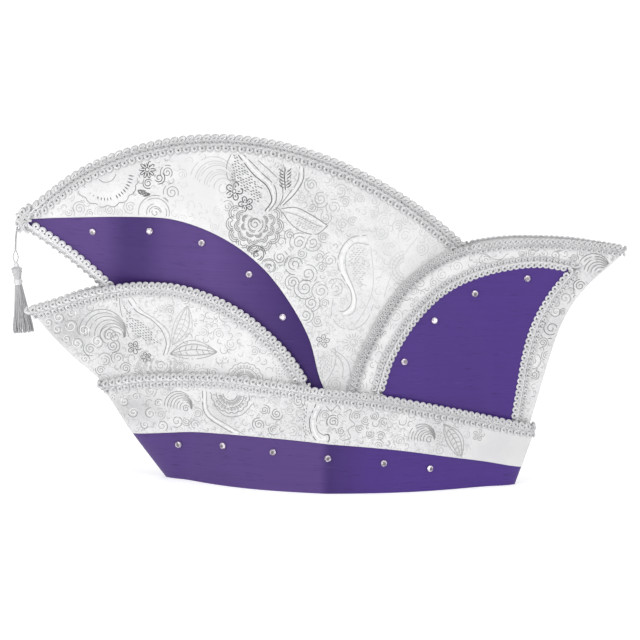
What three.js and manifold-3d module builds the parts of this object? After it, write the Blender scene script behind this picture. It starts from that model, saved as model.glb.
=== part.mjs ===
// A boat-shaped carnival cap: a purple satin crown with a white brocade facing, brocade flaps
// front and rear, a band on the rim, silver braid on every edge, cut stones and a tassel.
// Millimetres. X runs from the front point to the rear point, Y is lateral, Z is up.
// The wearer's left side is at negative Y, and the rim stands on Z = 0.

import * as THREE from 'three';
import Module from 'manifold-3d';

const wasm = await Module();
wasm.setup();
const { Manifold, Mesh: SolidMesh } = wasm;

// Cloth thicknesses and clearances
const CROWN_CLOTH = 1.6;
const FACING_CLOTH = 1.0;
const FLAP_CLOTH = 1.8;
const BAND_CLOTH = 1.6;
const INSET_CLOTH = 1.0;
const GAP = 0.6;
const INSET_GAP = 0.75;
const HALF_SEAM = 0.15;

// Crown: front point, rim and how quickly the side bellies out from each edge
const POINT = { x: -226, z: 192 };
const RIM_FRONT = -104;
const RIM_REAR = 138;
const RIM_HALF_WIDTH = 52;
const FRONT_EDGE_POWER = 2.7;
const EDGE_BELLY = 90;
const RIDGE_BELLY = 260;
const FRONT_POWER = { rim: 1.1, perHeight: 1 / 240 };
const REAR_POWER = 1.2;

// Hull: the flaps and the band, wrapped around the crown between a front and a rear seam
const WEDGE = [
  { z: 0, front: 0.7, rear: 0.7, most: 20 },
  { z: 35, front: 0.3, rear: 0.35, most: 28 },
  { z: 70, front: 0.11, rear: 0.17, most: 45 },
  { z: 100, front: 0.09, rear: 0.15, most: 60 },
  { z: 260, front: 0.09, rear: 0.15, most: 60 },
];
const HULL_STANDOFF = 4.2;
const SEAM_SOFTNESS = 7;
const SEAM_CROWDING = 0.32;
const HULL_BLEND = 3;
const BAND_OVERLAP = 5;
const BAND_LIFT = { rim: -0.7, top: 2.9, from: 5, to: 40 };
const TUCK = 12;

// Side-view curves of the cloth, front to rear
const RIDGE = [
  { x: -226, z: 192 },
  { x: -180, z: 228 },
  { x: -120, z: 250.5 },
  { x: -75, z: 255 },
  { x: -30, z: 250 },
  { x: 30, z: 229 },
  { x: 80, z: 198.5 },
  { x: 110, z: 172.5 },
  { x: 138, z: 136 },
];
const FRONT_SEAM = [
  { z: 0, x: -109 },
  { z: 32, x: -134 },
  { z: 69, x: -160.5 },
  { z: 95, x: -190.5 },
  { z: 128, x: -220.3 },
  { z: 150, x: -239 },
];
const REAR_SEAM = [
  { z: 0, x: 144 },
  { z: 40, x: 157 },
  { z: 77, x: 167 },
  { z: 101, x: 173.5 },
  { z: 123, x: 180.8 },
  { z: 141, x: 190.5 },
  { z: 158, x: 205 },
  { z: 172, x: 220.5 },
  { z: 182, x: 228.7 },
];
const BAND_TOP = [
  { x: -165, z: 70 },
  { x: -140, z: 75.5 },
  { x: -104, z: 78.7 },
  { x: -71, z: 80.8 },
  { x: -29, z: 78.8 },
  { x: 1, z: 75.6 },
  { x: 45, z: 70.7 },
  { x: 90, z: 61.3 },
  { x: 136, z: 49.7 },
  { x: 162, z: 44 },
];
const BAND_FACING_EDGE = [
  { x: -139.5, z: 33 },
  { x: -110, z: 36 },
  { x: -70, z: 39 },
  { x: -28, z: 39.2 },
  { x: 16, z: 36.5 },
  { x: 61, z: 31.7 },
  { x: 106, z: 23.2 },
  { x: 153, z: 13.5 },
];
const CROWN_FACING_EDGE = [
  { x: -212, z: 194 },
  { x: -184.5, z: 196 },
  { x: -141.5, z: 199 },
  { x: -111.5, z: 198.5 },
  { x: -84.5, z: 191 },
  { x: -60.5, z: 178.5 },
  { x: -42.5, z: 164 },
  { x: -24.5, z: 142 },
  { x: -9, z: 115.5 },
  { x: 3.5, z: 77 },
  { x: 12, z: 64 },
  { x: 32, z: 66 },
  { x: 47, z: 100 },
  { x: 75, z: 138 },
  { x: 106, z: 160 },
];
const FRONT_FLAP_TOP = [
  { x: -219.5, z: 126.5 },
  { x: -198, z: 132.5 },
  { x: -180, z: 138.5 },
  { x: -159, z: 143.2 },
  { x: -129, z: 147 },
  { x: -108, z: 147.2 },
  { x: -84, z: 142 },
  { x: -60.5, z: 131.5 },
  { x: -43, z: 119 },
  { x: -25, z: 102 },
  { x: -9, z: 79 },
  { x: -4, z: 69 },
];
const REAR_FLAP_TOP = [
  { x: 20, z: 63 },
  { x: 23, z: 75 },
  { x: 27.5, z: 92 },
  { x: 38.5, z: 117.5 },
  { x: 50, z: 137.5 },
  { x: 65, z: 155.5 },
  { x: 80, z: 167 },
  { x: 97, z: 175.8 },
  { x: 116, z: 181.2 },
  { x: 138, z: 184.6 },
  { x: 162, z: 185.6 },
  { x: 186, z: 185 },
  { x: 207, z: 182.8 },
  { x: 227.7, z: 180 },
];
const REAR_INSET_TOP = [
  { x: 47, z: 78 },
  { x: 52, z: 95.5 },
  { x: 59, z: 110 },
  { x: 71, z: 127.5 },
  { x: 88.5, z: 144.5 },
  { x: 112, z: 157.5 },
  { x: 139, z: 165.5 },
  { x: 163, z: 168 },
  { x: 184.5, z: 165 },
];
const REAR_INSET_EDGE = [
  { x: 184.5, z: 165 },
  { x: 171, z: 147 },
  { x: 158.5, z: 122.5 },
  { x: 152, z: 98 },
  { x: 149, z: 77 },
  { x: 145.5, z: 53 },
];

// Braid: a cord-looped tape folded over an edge, or laid flat on a panel.
// depth is measured into the panel from its edge, lift outward from the named face.
const EDGE_BRAID = [
  { depth: -2.2, face: 'inner', lift: 0 },
  { depth: -2.2, face: 'outer', lift: 1.0 },
  { depth: -0.8, face: 'outer', lift: 2.1 },
  { depth: 7.0, face: 'outer', lift: 2.1 },
  { depth: 7.0, face: 'outer', lift: 0.95 },
  { depth: -0.6, face: 'outer', lift: 0.95 },
  { depth: -0.6, face: 'inner', lift: 0 },
];
const EDGE_BRAID_INSIDE_CORNER = 5;
const FLAT_BRAID = [
  { depth: 0.7, face: 'outer', lift: 1.9 },
  { depth: 7.8, face: 'outer', lift: 1.9 },
  { depth: 7.8, face: 'outer', lift: 0.6 },
  { depth: 0.7, face: 'outer', lift: 0.6 },
];
const BRAID_CLEARANCE = 2.8;

// Cut stones: flat back, girdle, and facets up to an eight-sided table
const STONE = { radius: 2.4, girdle: 0.7, height: 1.9, table: 1.35, sides: 8 };
const STONE_SEAT = { crown: 0.3, rear: 0.5, band: 0.5 };
const STONES = {
  crown: [
    { x: -171, z: 186 },
    { x: -128, z: 189 },
    { x: -89, z: 182 },
    { x: -53.5, z: 160 },
    { x: -28, z: 129 },
  ],
  rear: [
    { x: 153.5, z: 158 },
    { x: 114.5, z: 146 },
    { x: 84.5, z: 126.5 },
    { x: 62.5, z: 97 },
  ],
  band: [
    { x: -104.5, z: 27 },
    { x: -70.5, z: 30 },
    { x: -33, z: 29 },
    { x: 7.5, z: 26.5 },
    { x: 49, z: 22.5 },
    { x: 83.5, z: 17 },
  ],
};

// Tassel: its cord's route from the front point, its head and the locks of its skirt
const CORD_RADIUS = 0.8;
const CORD_ROUTE = [
  { x: -226.8, y: 0.2, z: 191.6 },
  { x: -227.4, y: 0.5, z: 189.6 },
  { x: -228.0, y: 0.9, z: 187.4 },
  { x: -228.5, y: 1.4, z: 185.0 },
  { x: -228.9, y: 1.9, z: 182.5 },
  { x: -229.2, y: 2.5, z: 180.0 },
  { x: -229.4, y: 3.1, z: 177.5 },
  { x: -229.5, y: 3.8, z: 175.0 },
  { x: -229.6, y: 4.5, z: 172.5 },
  { x: -229.7, y: 5.2, z: 170.0 },
  { x: -229.7, y: 5.9, z: 167.5 },
  { x: -229.7, y: 6.6, z: 165.0 },
  { x: -229.7, y: 7.2, z: 162.5 },
  { x: -229.6, y: 7.8, z: 160.0 },
  { x: -229.5, y: 8.4, z: 156.8 },
];
const TASSEL_TOP = { x: -229.4, y: 8.8, z: 156.4 };
const TASSEL_FOOT = { x: -222.6, y: 9.6, z: 109 };
const TASSEL_PROFILE = [
  { down: 0, radius: 0 },
  { down: 0.2, radius: 1.2 },
  { down: 2.0, radius: 2.6 },
  { down: 5.5, radius: 3.4 },
  { down: 9.5, radius: 2.8 },
  { down: 10.5, radius: 3.5 },
  { down: 12.5, radius: 3.6 },
  { down: 13.5, radius: 3.0 },
  { down: 18, radius: 3.2 },
  { down: 18, radius: 0 },
];
const SKIRT = {
  locks: 9,
  sides: 5,
  from: 12,
  topRing: 1.9,
  topRadius: 1.3,
  wide: 5.9,
  deep: 2.6,
  footRadius: 2.0,
};

// Finishes, as seen in the photograph
const FINISH = {
  satin: { color: 0x5b4687, roughness: 0.5, metalness: 0 },
  brocade: { color: 0xe9e9ea, roughness: 0.6, metalness: 0 },
  braid: { color: 0xd6d6da, roughness: 0.45, metalness: 0.2 },
  crystal: { color: 0xe6e4ee, roughness: 0.08, metalness: 0.1 },
  silk: { color: 0xc2c2c4, roughness: 0.5, metalness: 0 },
};

// A smooth curve through rows of a table: value as a function of key
function curveThrough(rows, key, value) {
  const at = rows.map((row) => row[key]);
  const to = rows.map((row) => row[value]);
  const rise = (i) => (to[i + 1] - to[i]) / (at[i + 1] - at[i]);
  const slope = at.map((_, i) => {
    if (i === 0) return rise(0);
    if (i === at.length - 1) return rise(i - 1);
    const before = at[i] - at[i - 1];
    const after = at[i + 1] - at[i];
    return (rise(i - 1) * after + rise(i) * before) / (before + after);
  });
  return (k) => {
    let i = at.length - 2;
    while (i > 0 && k < at[i]) i -= 1;
    const span = at[i + 1] - at[i];
    const t = (k - at[i]) / span;
    const keep = 1 - t;
    const start = to[i] * (1 + 2 * t) * keep * keep + slope[i] * span * t * keep * keep;
    const finish = to[i + 1] * (3 - 2 * t) * t * t - slope[i + 1] * span * t * t * keep;
    return start + finish;
  };
}

// A side-view path through rows, followed from 0 to 1 by its length
function pathThrough(rows) {
  const marks = [];
  rows.forEach((row, i) => {
    const step = i === 0 ? 0 : Math.hypot(row.x - rows[i - 1].x, row.z - rows[i - 1].z);
    marks.push({ ...row, s: (i === 0 ? 0 : marks[i - 1].s) + step });
  });
  const length = marks[marks.length - 1].s;
  const x = curveThrough(marks, 's', 'x');
  const z = curveThrough(marks, 's', 'z');
  return (t) => ({ x: x(t * length), z: z(t * length) });
}

function stationsOn(path, from, to, steps) {
  return Array.from({ length: steps + 1 }, (_, i) => path(from + (to - from) * crowded(i, steps)));
}

const ridgeHeight = curveThrough(RIDGE, 'x', 'z');
const frontSeam = curveThrough(FRONT_SEAM, 'z', 'x');
const rearSeam = curveThrough(REAR_SEAM, 'z', 'x');
const bandTop = curveThrough(BAND_TOP, 'x', 'z');
const wedgeFront = curveThrough(WEDGE, 'z', 'front');
const wedgeRear = curveThrough(WEDGE, 'z', 'rear');
const wedgeMost = curveThrough(WEDGE, 'z', 'most');
const insetEdge = curveThrough([...REAR_INSET_EDGE].reverse(), 'z', 'x');

// Half width of each layer, as a function of the side view's x and z
function crownFront(z) {
  return RIM_FRONT + (POINT.x - RIM_FRONT) * (Math.max(z, 0) / POINT.z) ** FRONT_EDGE_POWER;
}

function bellied(distance, reach, power = 1) {
  const d = Math.max(distance, 0) ** power;
  return d / (d + reach ** power);
}

function crownBelly(x, z) {
  const power = FRONT_POWER.rim + FRONT_POWER.perHeight * Math.max(z, 0);
  const front = bellied(x - crownFront(z), EDGE_BELLY, power);
  const ridge = bellied(ridgeHeight(x) - z, RIDGE_BELLY);
  return front * ridge * bellied(RIM_REAR - x, EDGE_BELLY, REAR_POWER);
}

function widestRimBelly() {
  const steps = 200;
  const length = RIM_REAR - RIM_FRONT;
  const bellies = Array.from({ length: steps }, (_, i) => crownBelly(RIM_FRONT + (length * i) / steps, 0));
  return Math.max(...bellies);
}

const SEAM_WIDTH = HALF_SEAM + CROWN_CLOTH;
const BELLY = (RIM_HALF_WIDTH - SEAM_WIDTH) / widestRimBelly();

const crownOuter = (x, z) => SEAM_WIDTH + BELLY * crownBelly(x, z);
const crownInner = (x, z) => crownOuter(x, z) - CROWN_CLOTH;
const crownFacingInner = (x, z) => crownOuter(x, z) + GAP;
const crownFacingOuter = (x, z) => crownFacingInner(x, z) + FACING_CLOTH;

function hull(x, z, overlap) {
  const front = Math.max(x - frontSeam(z) + overlap, 0);
  const rear = Math.max(rearSeam(z) + overlap - x, 0);
  const ease = bellied(front, SEAM_SOFTNESS) * bellied(rear, SEAM_SOFTNESS);
  const wedge = 1 / (1 / (wedgeFront(z) * front) + 1 / (wedgeRear(z) * rear) + 1 / wedgeMost(z));
  const crownWidth = crownOuter(x, z) - SEAM_WIDTH;
  const wrapped = (crownWidth ** HULL_BLEND + wedge ** HULL_BLEND) ** (1 / HULL_BLEND);
  return { ease, width: HALF_SEAM + HULL_STANDOFF * ease + wrapped };
}

const flapInner = (x, z) => hull(x, z, 0).width;
const flapOuter = (x, z) => flapInner(x, z) + FLAP_CLOTH;
const insetInner = (x, z) => flapOuter(x, z) + INSET_GAP;
const insetOuter = (x, z) => insetInner(x, z) + INSET_CLOTH;

function bandInner(x, z) {
  const { ease, width } = hull(x, z, BAND_OVERLAP);
  const up = THREE.MathUtils.smoothstep(z, BAND_LIFT.from, BAND_LIFT.to);
  return width + ease * (BAND_LIFT.rim + (BAND_LIFT.top - BAND_LIFT.rim) * up);
}

const bandOuter = (x, z) => bandInner(x, z) + BAND_CLOTH;
const bandFacingInner = (x, z) => bandOuter(x, z) + GAP;
const bandFacingOuter = (x, z) => bandFacingInner(x, z) + FACING_CLOTH;
const bandFront = (z) => frontSeam(z) - BAND_OVERLAP;
const bandRear = (z) => rearSeam(z) + BAND_OVERLAP;
const centre = () => HALF_SEAM;

// Solids from rings of points; side is -1 for the left half and 1 for the right
function solidFrom(points, triangles, side) {
  const geometry = new THREE.BufferGeometry();
  const ordered = side < 0 ? triangles : triangles.map(([a, b, c]) => [a, c, b]);
  geometry.setAttribute('position', new THREE.Float32BufferAttribute(points.flat(), 3));
  geometry.setIndex(ordered.flat());
  geometry.computeVertexNormals();
  return geometry;
}

function quad(a, b, c, d) {
  return [[a, b, c], [a, c, d]];
}

function shorter(points, a, c, b, d) {
  const span = (p, q) => Math.hypot(...points[p].map((value, axis) => value - points[q][axis]));
  return span(a, c) <= span(b, d);
}

// Panel steps from 0 to 1, closer together near the two seams
function crowded(i, steps) {
  const t = i / steps;
  return t - (SEAM_CROWDING * Math.sin(2 * Math.PI * t)) / (2 * Math.PI);
}

// A cloth panel between a low and a high side-view path, with outer and inner faces
function panel({ side, low, high, steps, rows, outer, inner, start, end }) {
  const points = [];
  const mix = THREE.MathUtils.lerp;
  const place = (u, v) => ({ x: mix(low(u).x, high(u).x, v), z: mix(low(u).z, high(u).z, v) });
  for (const face of [outer, inner]) {
    for (let j = 0; j <= rows; j += 1) {
      const v = j / rows;
      const first = place(0, v);
      const last = place(1, v);
      const pullFirst = start ? start(first.z) - first.x : 0;
      const pullLast = end ? end(last.z) - last.x : 0;
      for (let i = 0; i <= steps; i += 1) {
        const u = crowded(i, steps);
        const { x, z } = place(u, v);
        const moved = x + (1 - u) * pullFirst + u * pullLast;
        points.push([moved, side * face(moved, z), z]);
      }
    }
  }
  const across = steps + 1;
  const faceSize = across * (rows + 1);
  const triangles = [];
  for (let j = 0; j < rows; j += 1) {
    for (let i = 0; i < steps; i += 1) {
      const a = j * across + i;
      const [b, c, d] = [a + 1, a + 1 + across, a + across];
      const corners = shorter(points, a, c, b, d) ? [a, b, c, d] : [b, c, d, a];
      triangles.push(...quad(...corners));
      triangles.push(...quad(...corners.map((k) => k + faceSize)).map(([p, q, r]) => [p, r, q]));
    }
  }
  const rim = [];
  for (let i = 0; i < steps; i += 1) rim.push(i);
  for (let j = 0; j < rows; j += 1) rim.push(j * across + steps);
  for (let i = steps; i > 0; i -= 1) rim.push(rows * across + i);
  for (let j = rows; j > 0; j -= 1) rim.push(j * across);
  rim.forEach((a, k) => {
    const b = rim[(k + 1) % rim.length];
    triangles.push(...quad(a, a + faceSize, b + faceSize, b));
  });
  return solidFrom(points, triangles, side);
}

// Directions along and into a panel at each station, stretched at corners as a mitre is
function directions(stations, into) {
  const unit = (a, b) => new THREE.Vector2(b.x - a.x, b.z - a.z).normalize();
  return stations.map((here, i) => {
    const before = stations[Math.max(i - 1, 0)];
    const after = stations[Math.min(i + 1, stations.length - 1)];
    const arriving = i > 0 ? unit(before, here) : unit(here, after);
    const leaving = i < stations.length - 1 ? unit(here, after) : arriving;
    const along = arriving.clone().add(leaving).normalize();
    const mitre = 1 / along.dot(arriving);
    return { along, inward: new THREE.Vector2(-along.y, along.x).multiplyScalar(into * mitre) };
  });
}

// A braid along stations; the skews slant its two ends to lie along neighbouring edges
function braid({ side, stations, into, section, outer, inner, fan = 0, startSkew = 0, endSkew = 0 }) {
  const last = stations.length - 1;
  const faces = { outer, inner };
  const points = [];
  directions(stations, into).forEach(({ along, inward }, i) => {
    const skew = (i === 0 ? startSkew : 0) + (i === last ? -endSkew : 0);
    for (const { depth, face, lift } of section) {
      const reach = Math.max(depth, 0);
      const x = stations[i].x + inward.x * depth + along.x * skew * depth;
      const z = stations[i].z + inward.y * depth + along.y * skew * depth;
      const onX = stations[i].x + (inward.x + along.x * skew) * reach;
      const onZ = stations[i].z + (inward.y + along.y * skew) * reach;
      points.push([x, side * (faces[face](onX, onZ) + lift), z]);
    }
  });
  const ring = section.length;
  const turned = side * into;
  const triangles = [];
  for (let i = 0; i < last; i += 1) {
    for (let k = 0; k < ring; k += 1) {
      const a = i * ring + k;
      const b = i * ring + ((k + 1) % ring);
      triangles.push(...quad(a, a + ring, b + ring, b));
    }
  }
  for (let k = 1; k < ring - 1; k += 1) {
    const b = (fan + k) % ring;
    const c = (fan + k + 1) % ring;
    triangles.push([fan, b, c]);
    triangles.push([last * ring + fan, last * ring + c, last * ring + b]);
  }
  return solidFrom(points, triangles, turned);
}

function edgeBraid(options) {
  return braid({ section: EDGE_BRAID, fan: EDGE_BRAID_INSIDE_CORNER, ...options });
}

function mesh(name, geometry, finish) {
  const part = new THREE.Mesh(geometry, new THREE.MeshStandardMaterial(FINISH[finish]));
  part.name = name;
  return part;
}

// Crown
const ridgePath = pathThrough(RIDGE);
const line = (a, b) => (u) => ({ x: a.x + (b.x - a.x) * u, z: a.z + (b.z - a.z) * u });

function crown(side) {
  return panel({
    side,
    low: line({ x: RIM_FRONT, z: 0 }, { x: RIM_REAR, z: 0 }),
    high: ridgePath,
    steps: 25,
    rows: 10,
    outer: crownOuter,
    inner: crownInner,
    start: crownFront,
  });
}

function crownFacing(side) {
  return panel({
    side,
    low: pathThrough(CROWN_FACING_EDGE),
    high: (u) => ridgePath(0.035 + 0.865 * u),
    steps: 25,
    rows: 6,
    outer: crownFacingOuter,
    inner: crownFacingInner,
  });
}

function ridgeBraid(side) {
  const stations = stationsOn(ridgePath, 0, 0.9, 21);
  return edgeBraid({ side, stations, into: -1, outer: crownFacingOuter, inner: centre, startSkew: 0.38 });
}

function crownFrontBraid(side) {
  const heights = [187.4, 176, 165, 153, 141, 128];
  const stations = heights.map((z) => ({ x: crownFront(z), z }));
  return edgeBraid({ side, stations, into: 1, outer: crownOuter, inner: centre, startSkew: 0.38 });
}

// Flaps
const frontFlapTop = pathThrough(FRONT_FLAP_TOP);
const rearFlapTop = pathThrough(REAR_FLAP_TOP);
const tucked = (from, to) => (u) => {
  const x = from + (to - from) * u;
  return { x, z: bandTop(x) - TUCK };
};

function frontFlap(side) {
  return panel({
    side,
    low: tucked(-154, -10),
    high: frontFlapTop,
    steps: 22,
    rows: 5,
    outer: flapOuter,
    inner: flapInner,
    start: frontSeam,
  });
}

function rearFlap(side) {
  return panel({
    side,
    low: tucked(22, 156),
    high: rearFlapTop,
    steps: 20,
    rows: 6,
    outer: flapOuter,
    inner: flapInner,
    end: rearSeam,
  });
}

function frontFlapBraid(side) {
  return edgeBraid({
    side,
    stations: stationsOn(frontFlapTop, 0.004, 0.925, 22),
    into: -1,
    outer: flapOuter,
    inner: flapInner,
    startSkew: 0.5,
    endSkew: 0.84,
  });
}

function rearFlapBraid(side) {
  return edgeBraid({
    side,
    stations: stationsOn(rearFlapTop, 0.07, 0.996, 22),
    into: -1,
    outer: flapOuter,
    inner: flapInner,
    startSkew: 0.24,
    endSkew: 0.5,
  });
}

function rearInset(side) {
  return panel({
    side,
    low: (u) => {
      const x = 47 + 98 * u;
      return { x, z: bandTop(x) + BRAID_CLEARANCE };
    },
    high: pathThrough(REAR_INSET_TOP),
    steps: 14,
    rows: 6,
    outer: insetOuter,
    inner: insetInner,
    end: insetEdge,
  });
}

function rearInsetBraid(side) {
  const top = stationsOn(pathThrough(REAR_INSET_TOP), 0, 1, 11);
  const rear = stationsOn(pathThrough(REAR_INSET_EDGE), 0, 1, 7).slice(1);
  return braid({
    side,
    stations: [...top, ...rear],
    into: 1,
    section: FLAT_BRAID,
    outer: flapOuter,
  });
}

// Band
function band(side) {
  return panel({
    side,
    low: line({ x: bandFront(0), z: 0 }, { x: bandRear(0), z: 0 }),
    high: pathThrough(BAND_TOP),
    steps: 32,
    rows: 3,
    outer: bandOuter,
    inner: bandInner,
    start: bandFront,
    end: bandRear,
  });
}

function bandFacing(side) {
  return panel({
    side,
    low: pathThrough(BAND_FACING_EDGE),
    high: pathThrough(BAND_TOP),
    steps: 32,
    rows: 2,
    outer: bandFacingOuter,
    inner: bandFacingInner,
    start: bandFront,
    end: bandRear,
  });
}

function bandBraid(side) {
  return edgeBraid({
    side,
    stations: stationsOn(pathThrough(BAND_TOP), 0, 1, 26),
    into: -1,
    outer: bandFacingOuter,
    inner: bandInner,
    startSkew: 0.42,
    endSkew: 0.12,
  });
}

// A stone stands on its cloth, square to the surface there
function stone(side, { x, z }, surface, lift) {
  const profile = [
    new THREE.Vector2(0, 0),
    new THREE.Vector2(STONE.radius, 0),
    new THREE.Vector2(STONE.radius, STONE.girdle),
    new THREE.Vector2(STONE.table, STONE.height),
    new THREE.Vector2(0, STONE.height),
  ];
  const geometry = new THREE.LatheGeometry(profile, STONE.sides);
  const step = 1;
  const slopeX = (surface(x + step, z) - surface(x - step, z)) / (2 * step);
  const slopeZ = (surface(x, z + step) - surface(x, z - step)) / (2 * step);
  const normal = new THREE.Vector3(-slopeX, side, -slopeZ).normalize();
  const turn = new THREE.Quaternion().setFromUnitVectors(new THREE.Vector3(0, 1, 0), normal);
  const seat = new THREE.Vector3(x, side * surface(x, z), z).addScaledVector(normal, lift);
  return geometry.applyQuaternion(turn).translate(seat.x, seat.y, seat.z);
}

// Tassel
function vector({ x, y, z }) {
  return new THREE.Vector3(x, y, z);
}

function tasselCord() {
  const section = new THREE.Shape();
  const sides = 8;
  for (let k = 0; k < sides; k += 1) {
    const angle = (2 * Math.PI * k) / sides;
    const corner = [CORD_RADIUS * Math.cos(angle), CORD_RADIUS * Math.sin(angle)];
    if (k === 0) section.moveTo(...corner);
    else section.lineTo(...corner);
  }
  const extrudePath = new THREE.CatmullRomCurve3(CORD_ROUTE.map(vector));
  return new THREE.ExtrudeGeometry(section, { steps: 9, extrudePath });
}

function solidOf(geometry) {
  const source = geometry.index ? geometry : geometry.clone();
  const position = source.getAttribute('position');
  const index = source.index ? source.index.array : position.array.map((_, i) => i);
  const made = new SolidMesh({
    numProp: 3,
    vertProperties: Float32Array.from(position.array),
    triVerts: Uint32Array.from(index),
  });
  made.merge();
  return new Manifold(made);
}

function geometryOf(solid) {
  const made = solid.getMesh();
  const geometry = new THREE.BufferGeometry();
  geometry.setAttribute('position', new THREE.Float32BufferAttribute(made.vertProperties, 3));
  geometry.setIndex(Array.from(made.triVerts));
  geometry.computeVertexNormals();
  return geometry;
}

function lockBetween(top, foot) {
  const length = top.distanceTo(foot);
  const lock = new THREE.CylinderGeometry(SKIRT.topRadius, SKIRT.footRadius, length, SKIRT.sides);
  const up = top.clone().sub(foot).normalize();
  const turn = new THREE.Quaternion().setFromUnitVectors(new THREE.Vector3(0, 1, 0), up);
  const middle = top.clone().add(foot).multiplyScalar(0.5);
  return lock.applyQuaternion(turn).translate(middle.x, middle.y, middle.z);
}

function tassel() {
  const top = vector(TASSEL_TOP);
  const foot = vector(TASSEL_FOOT);
  const down = foot.clone().sub(top).normalize();
  const turn = new THREE.Quaternion().setFromUnitVectors(new THREE.Vector3(0, -1, 0), down);
  const profile = TASSEL_PROFILE.map((row) => new THREE.Vector2(row.radius, -row.down)).reverse();
  const head = new THREE.LatheGeometry(profile, 10).applyQuaternion(turn).translate(top.x, top.y, top.z);
  const shoulder = top.clone().addScaledVector(down, SKIRT.from);
  const pieces = [solidOf(head), solidOf(lockBetween(shoulder, foot))];
  for (let k = 0; k < SKIRT.locks; k += 1) {
    const angle = (2 * Math.PI * k) / SKIRT.locks;
    const above = new THREE.Vector3(Math.cos(angle), Math.sin(angle), 0).multiplyScalar(SKIRT.topRing);
    const below = new THREE.Vector3(SKIRT.wide * Math.cos(angle), SKIRT.deep * Math.sin(angle), 0);
    pieces.push(solidOf(lockBetween(shoulder.clone().add(above), foot.clone().add(below))));
  }
  return geometryOf(Manifold.union(pieces));
}

// The cap
const cap = new THREE.Group();
const HALVES = [
  { half: 'left', side: -1 },
  { half: 'right', side: 1 },
];
const PAIRS = [
  { name: 'crown', make: crown, finish: 'satin' },
  { name: 'crown_facing', make: crownFacing, finish: 'brocade' },
  { name: 'front_flap', make: frontFlap, finish: 'brocade' },
  { name: 'rear_flap', make: rearFlap, finish: 'brocade' },
  { name: 'rear_inset', make: rearInset, finish: 'satin' },
  { name: 'band', make: band, finish: 'satin' },
  { name: 'band_facing', make: bandFacing, finish: 'brocade' },
  { name: 'ridge_braid', make: ridgeBraid, finish: 'braid' },
  { name: 'crown_front_braid', make: crownFrontBraid, finish: 'braid' },
  { name: 'front_flap_braid', make: frontFlapBraid, finish: 'braid' },
  { name: 'rear_flap_braid', make: rearFlapBraid, finish: 'braid' },
  { name: 'rear_inset_braid', make: rearInsetBraid, finish: 'braid' },
  { name: 'band_braid', make: bandBraid, finish: 'braid' },
];
const STONE_CLOTH = { crown: crownOuter, rear: insetOuter, band: bandOuter };

for (const { half, side } of HALVES) {
  for (const { name, make, finish } of PAIRS) {
    cap.add(mesh(`${name}_${half}`, make(side), finish));
  }
  for (const [row, places] of Object.entries(STONES)) {
    places.forEach((place, i) => {
      const cut = stone(side, place, STONE_CLOTH[row], STONE_SEAT[row]);
      cap.add(mesh(`stone_${row}_${half}_${i + 1}`, cut, 'crystal'));
    });
  }
}
cap.add(mesh('tassel_cord', tasselCord(), 'silk'));
cap.add(mesh('tassel', tassel(), 'silk'));

export default cap;
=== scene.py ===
import math

import bpy
import numpy as np
from mathutils import Matrix, Vector


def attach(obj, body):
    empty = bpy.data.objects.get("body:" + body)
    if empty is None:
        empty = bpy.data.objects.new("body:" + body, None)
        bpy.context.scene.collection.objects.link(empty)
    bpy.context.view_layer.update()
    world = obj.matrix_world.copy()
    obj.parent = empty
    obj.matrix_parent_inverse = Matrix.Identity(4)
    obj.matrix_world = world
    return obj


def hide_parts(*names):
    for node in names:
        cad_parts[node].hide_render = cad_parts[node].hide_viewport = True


# A boat-shaped carnival cap of purple dupion and white brocade, edged with looped silver gimp.
# Shapes are worked out in millimetres, as half widths of the side view's x and z, and made in metres.
# X runs from the front point to the rear point, the wearer's left is at negative Y, and Z is up.

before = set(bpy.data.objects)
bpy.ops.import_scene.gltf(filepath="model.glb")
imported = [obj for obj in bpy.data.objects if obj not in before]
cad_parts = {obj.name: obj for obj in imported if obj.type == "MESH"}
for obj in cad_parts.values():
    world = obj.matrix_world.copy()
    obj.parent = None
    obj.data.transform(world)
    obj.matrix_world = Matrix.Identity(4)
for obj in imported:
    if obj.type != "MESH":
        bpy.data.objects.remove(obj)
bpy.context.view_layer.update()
MM = 0.001
rng = np.random.default_rng(20)
SIDES = (("left", -1), ("right", 1))

# Camera and studio, in metres, degrees and watts
ELEVATION = 8.0
ROLL = 1.2
DISTANCE = 3.0
TARGET = Vector((-0.0004, 0.0, 0.1215))
LENS = 225.0
FAR_CLIP = 100
WORLD_STRENGTH = 0.45
SOFTBOXES = {  # place, width, height, watts
    "key": ((-1.5, -1.8, 1.1), 0.9, 0.8, 21),
    "fill": ((1.5, -1.9, 0.8), 1.2, 1.0, 9),
    "top": ((0.1, -0.5, 2.2), 1.8, 1.2, 12),
    "back": ((0.6, 1.8, 1.4), 1.4, 1.0, 10),
}
FLOOR_HALF = 16.0
FLOOR_DROP = 0.0002

# The tassel's cord, in metres, from the front point down to the tassel's knot
CORD_DIAMETER = 0.0016
CORD_ROUTE = [
    (-0.2268, 0.0002, 0.1916),
    (-0.2274, 0.0005, 0.1896),
    (-0.2280, 0.0009, 0.1874),
    (-0.2285, 0.0014, 0.1850),
    (-0.2289, 0.0019, 0.1825),
    (-0.2292, 0.0025, 0.1800),
    (-0.2294, 0.0031, 0.1775),
    (-0.2295, 0.0038, 0.1750),
    (-0.2296, 0.0045, 0.1725),
    (-0.2297, 0.0052, 0.1700),
    (-0.2297, 0.0059, 0.1675),
    (-0.2297, 0.0066, 0.1650),
    (-0.2297, 0.0072, 0.1625),
    (-0.2296, 0.0078, 0.1600),
    (-0.2295, 0.0084, 0.1568),
]

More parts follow.
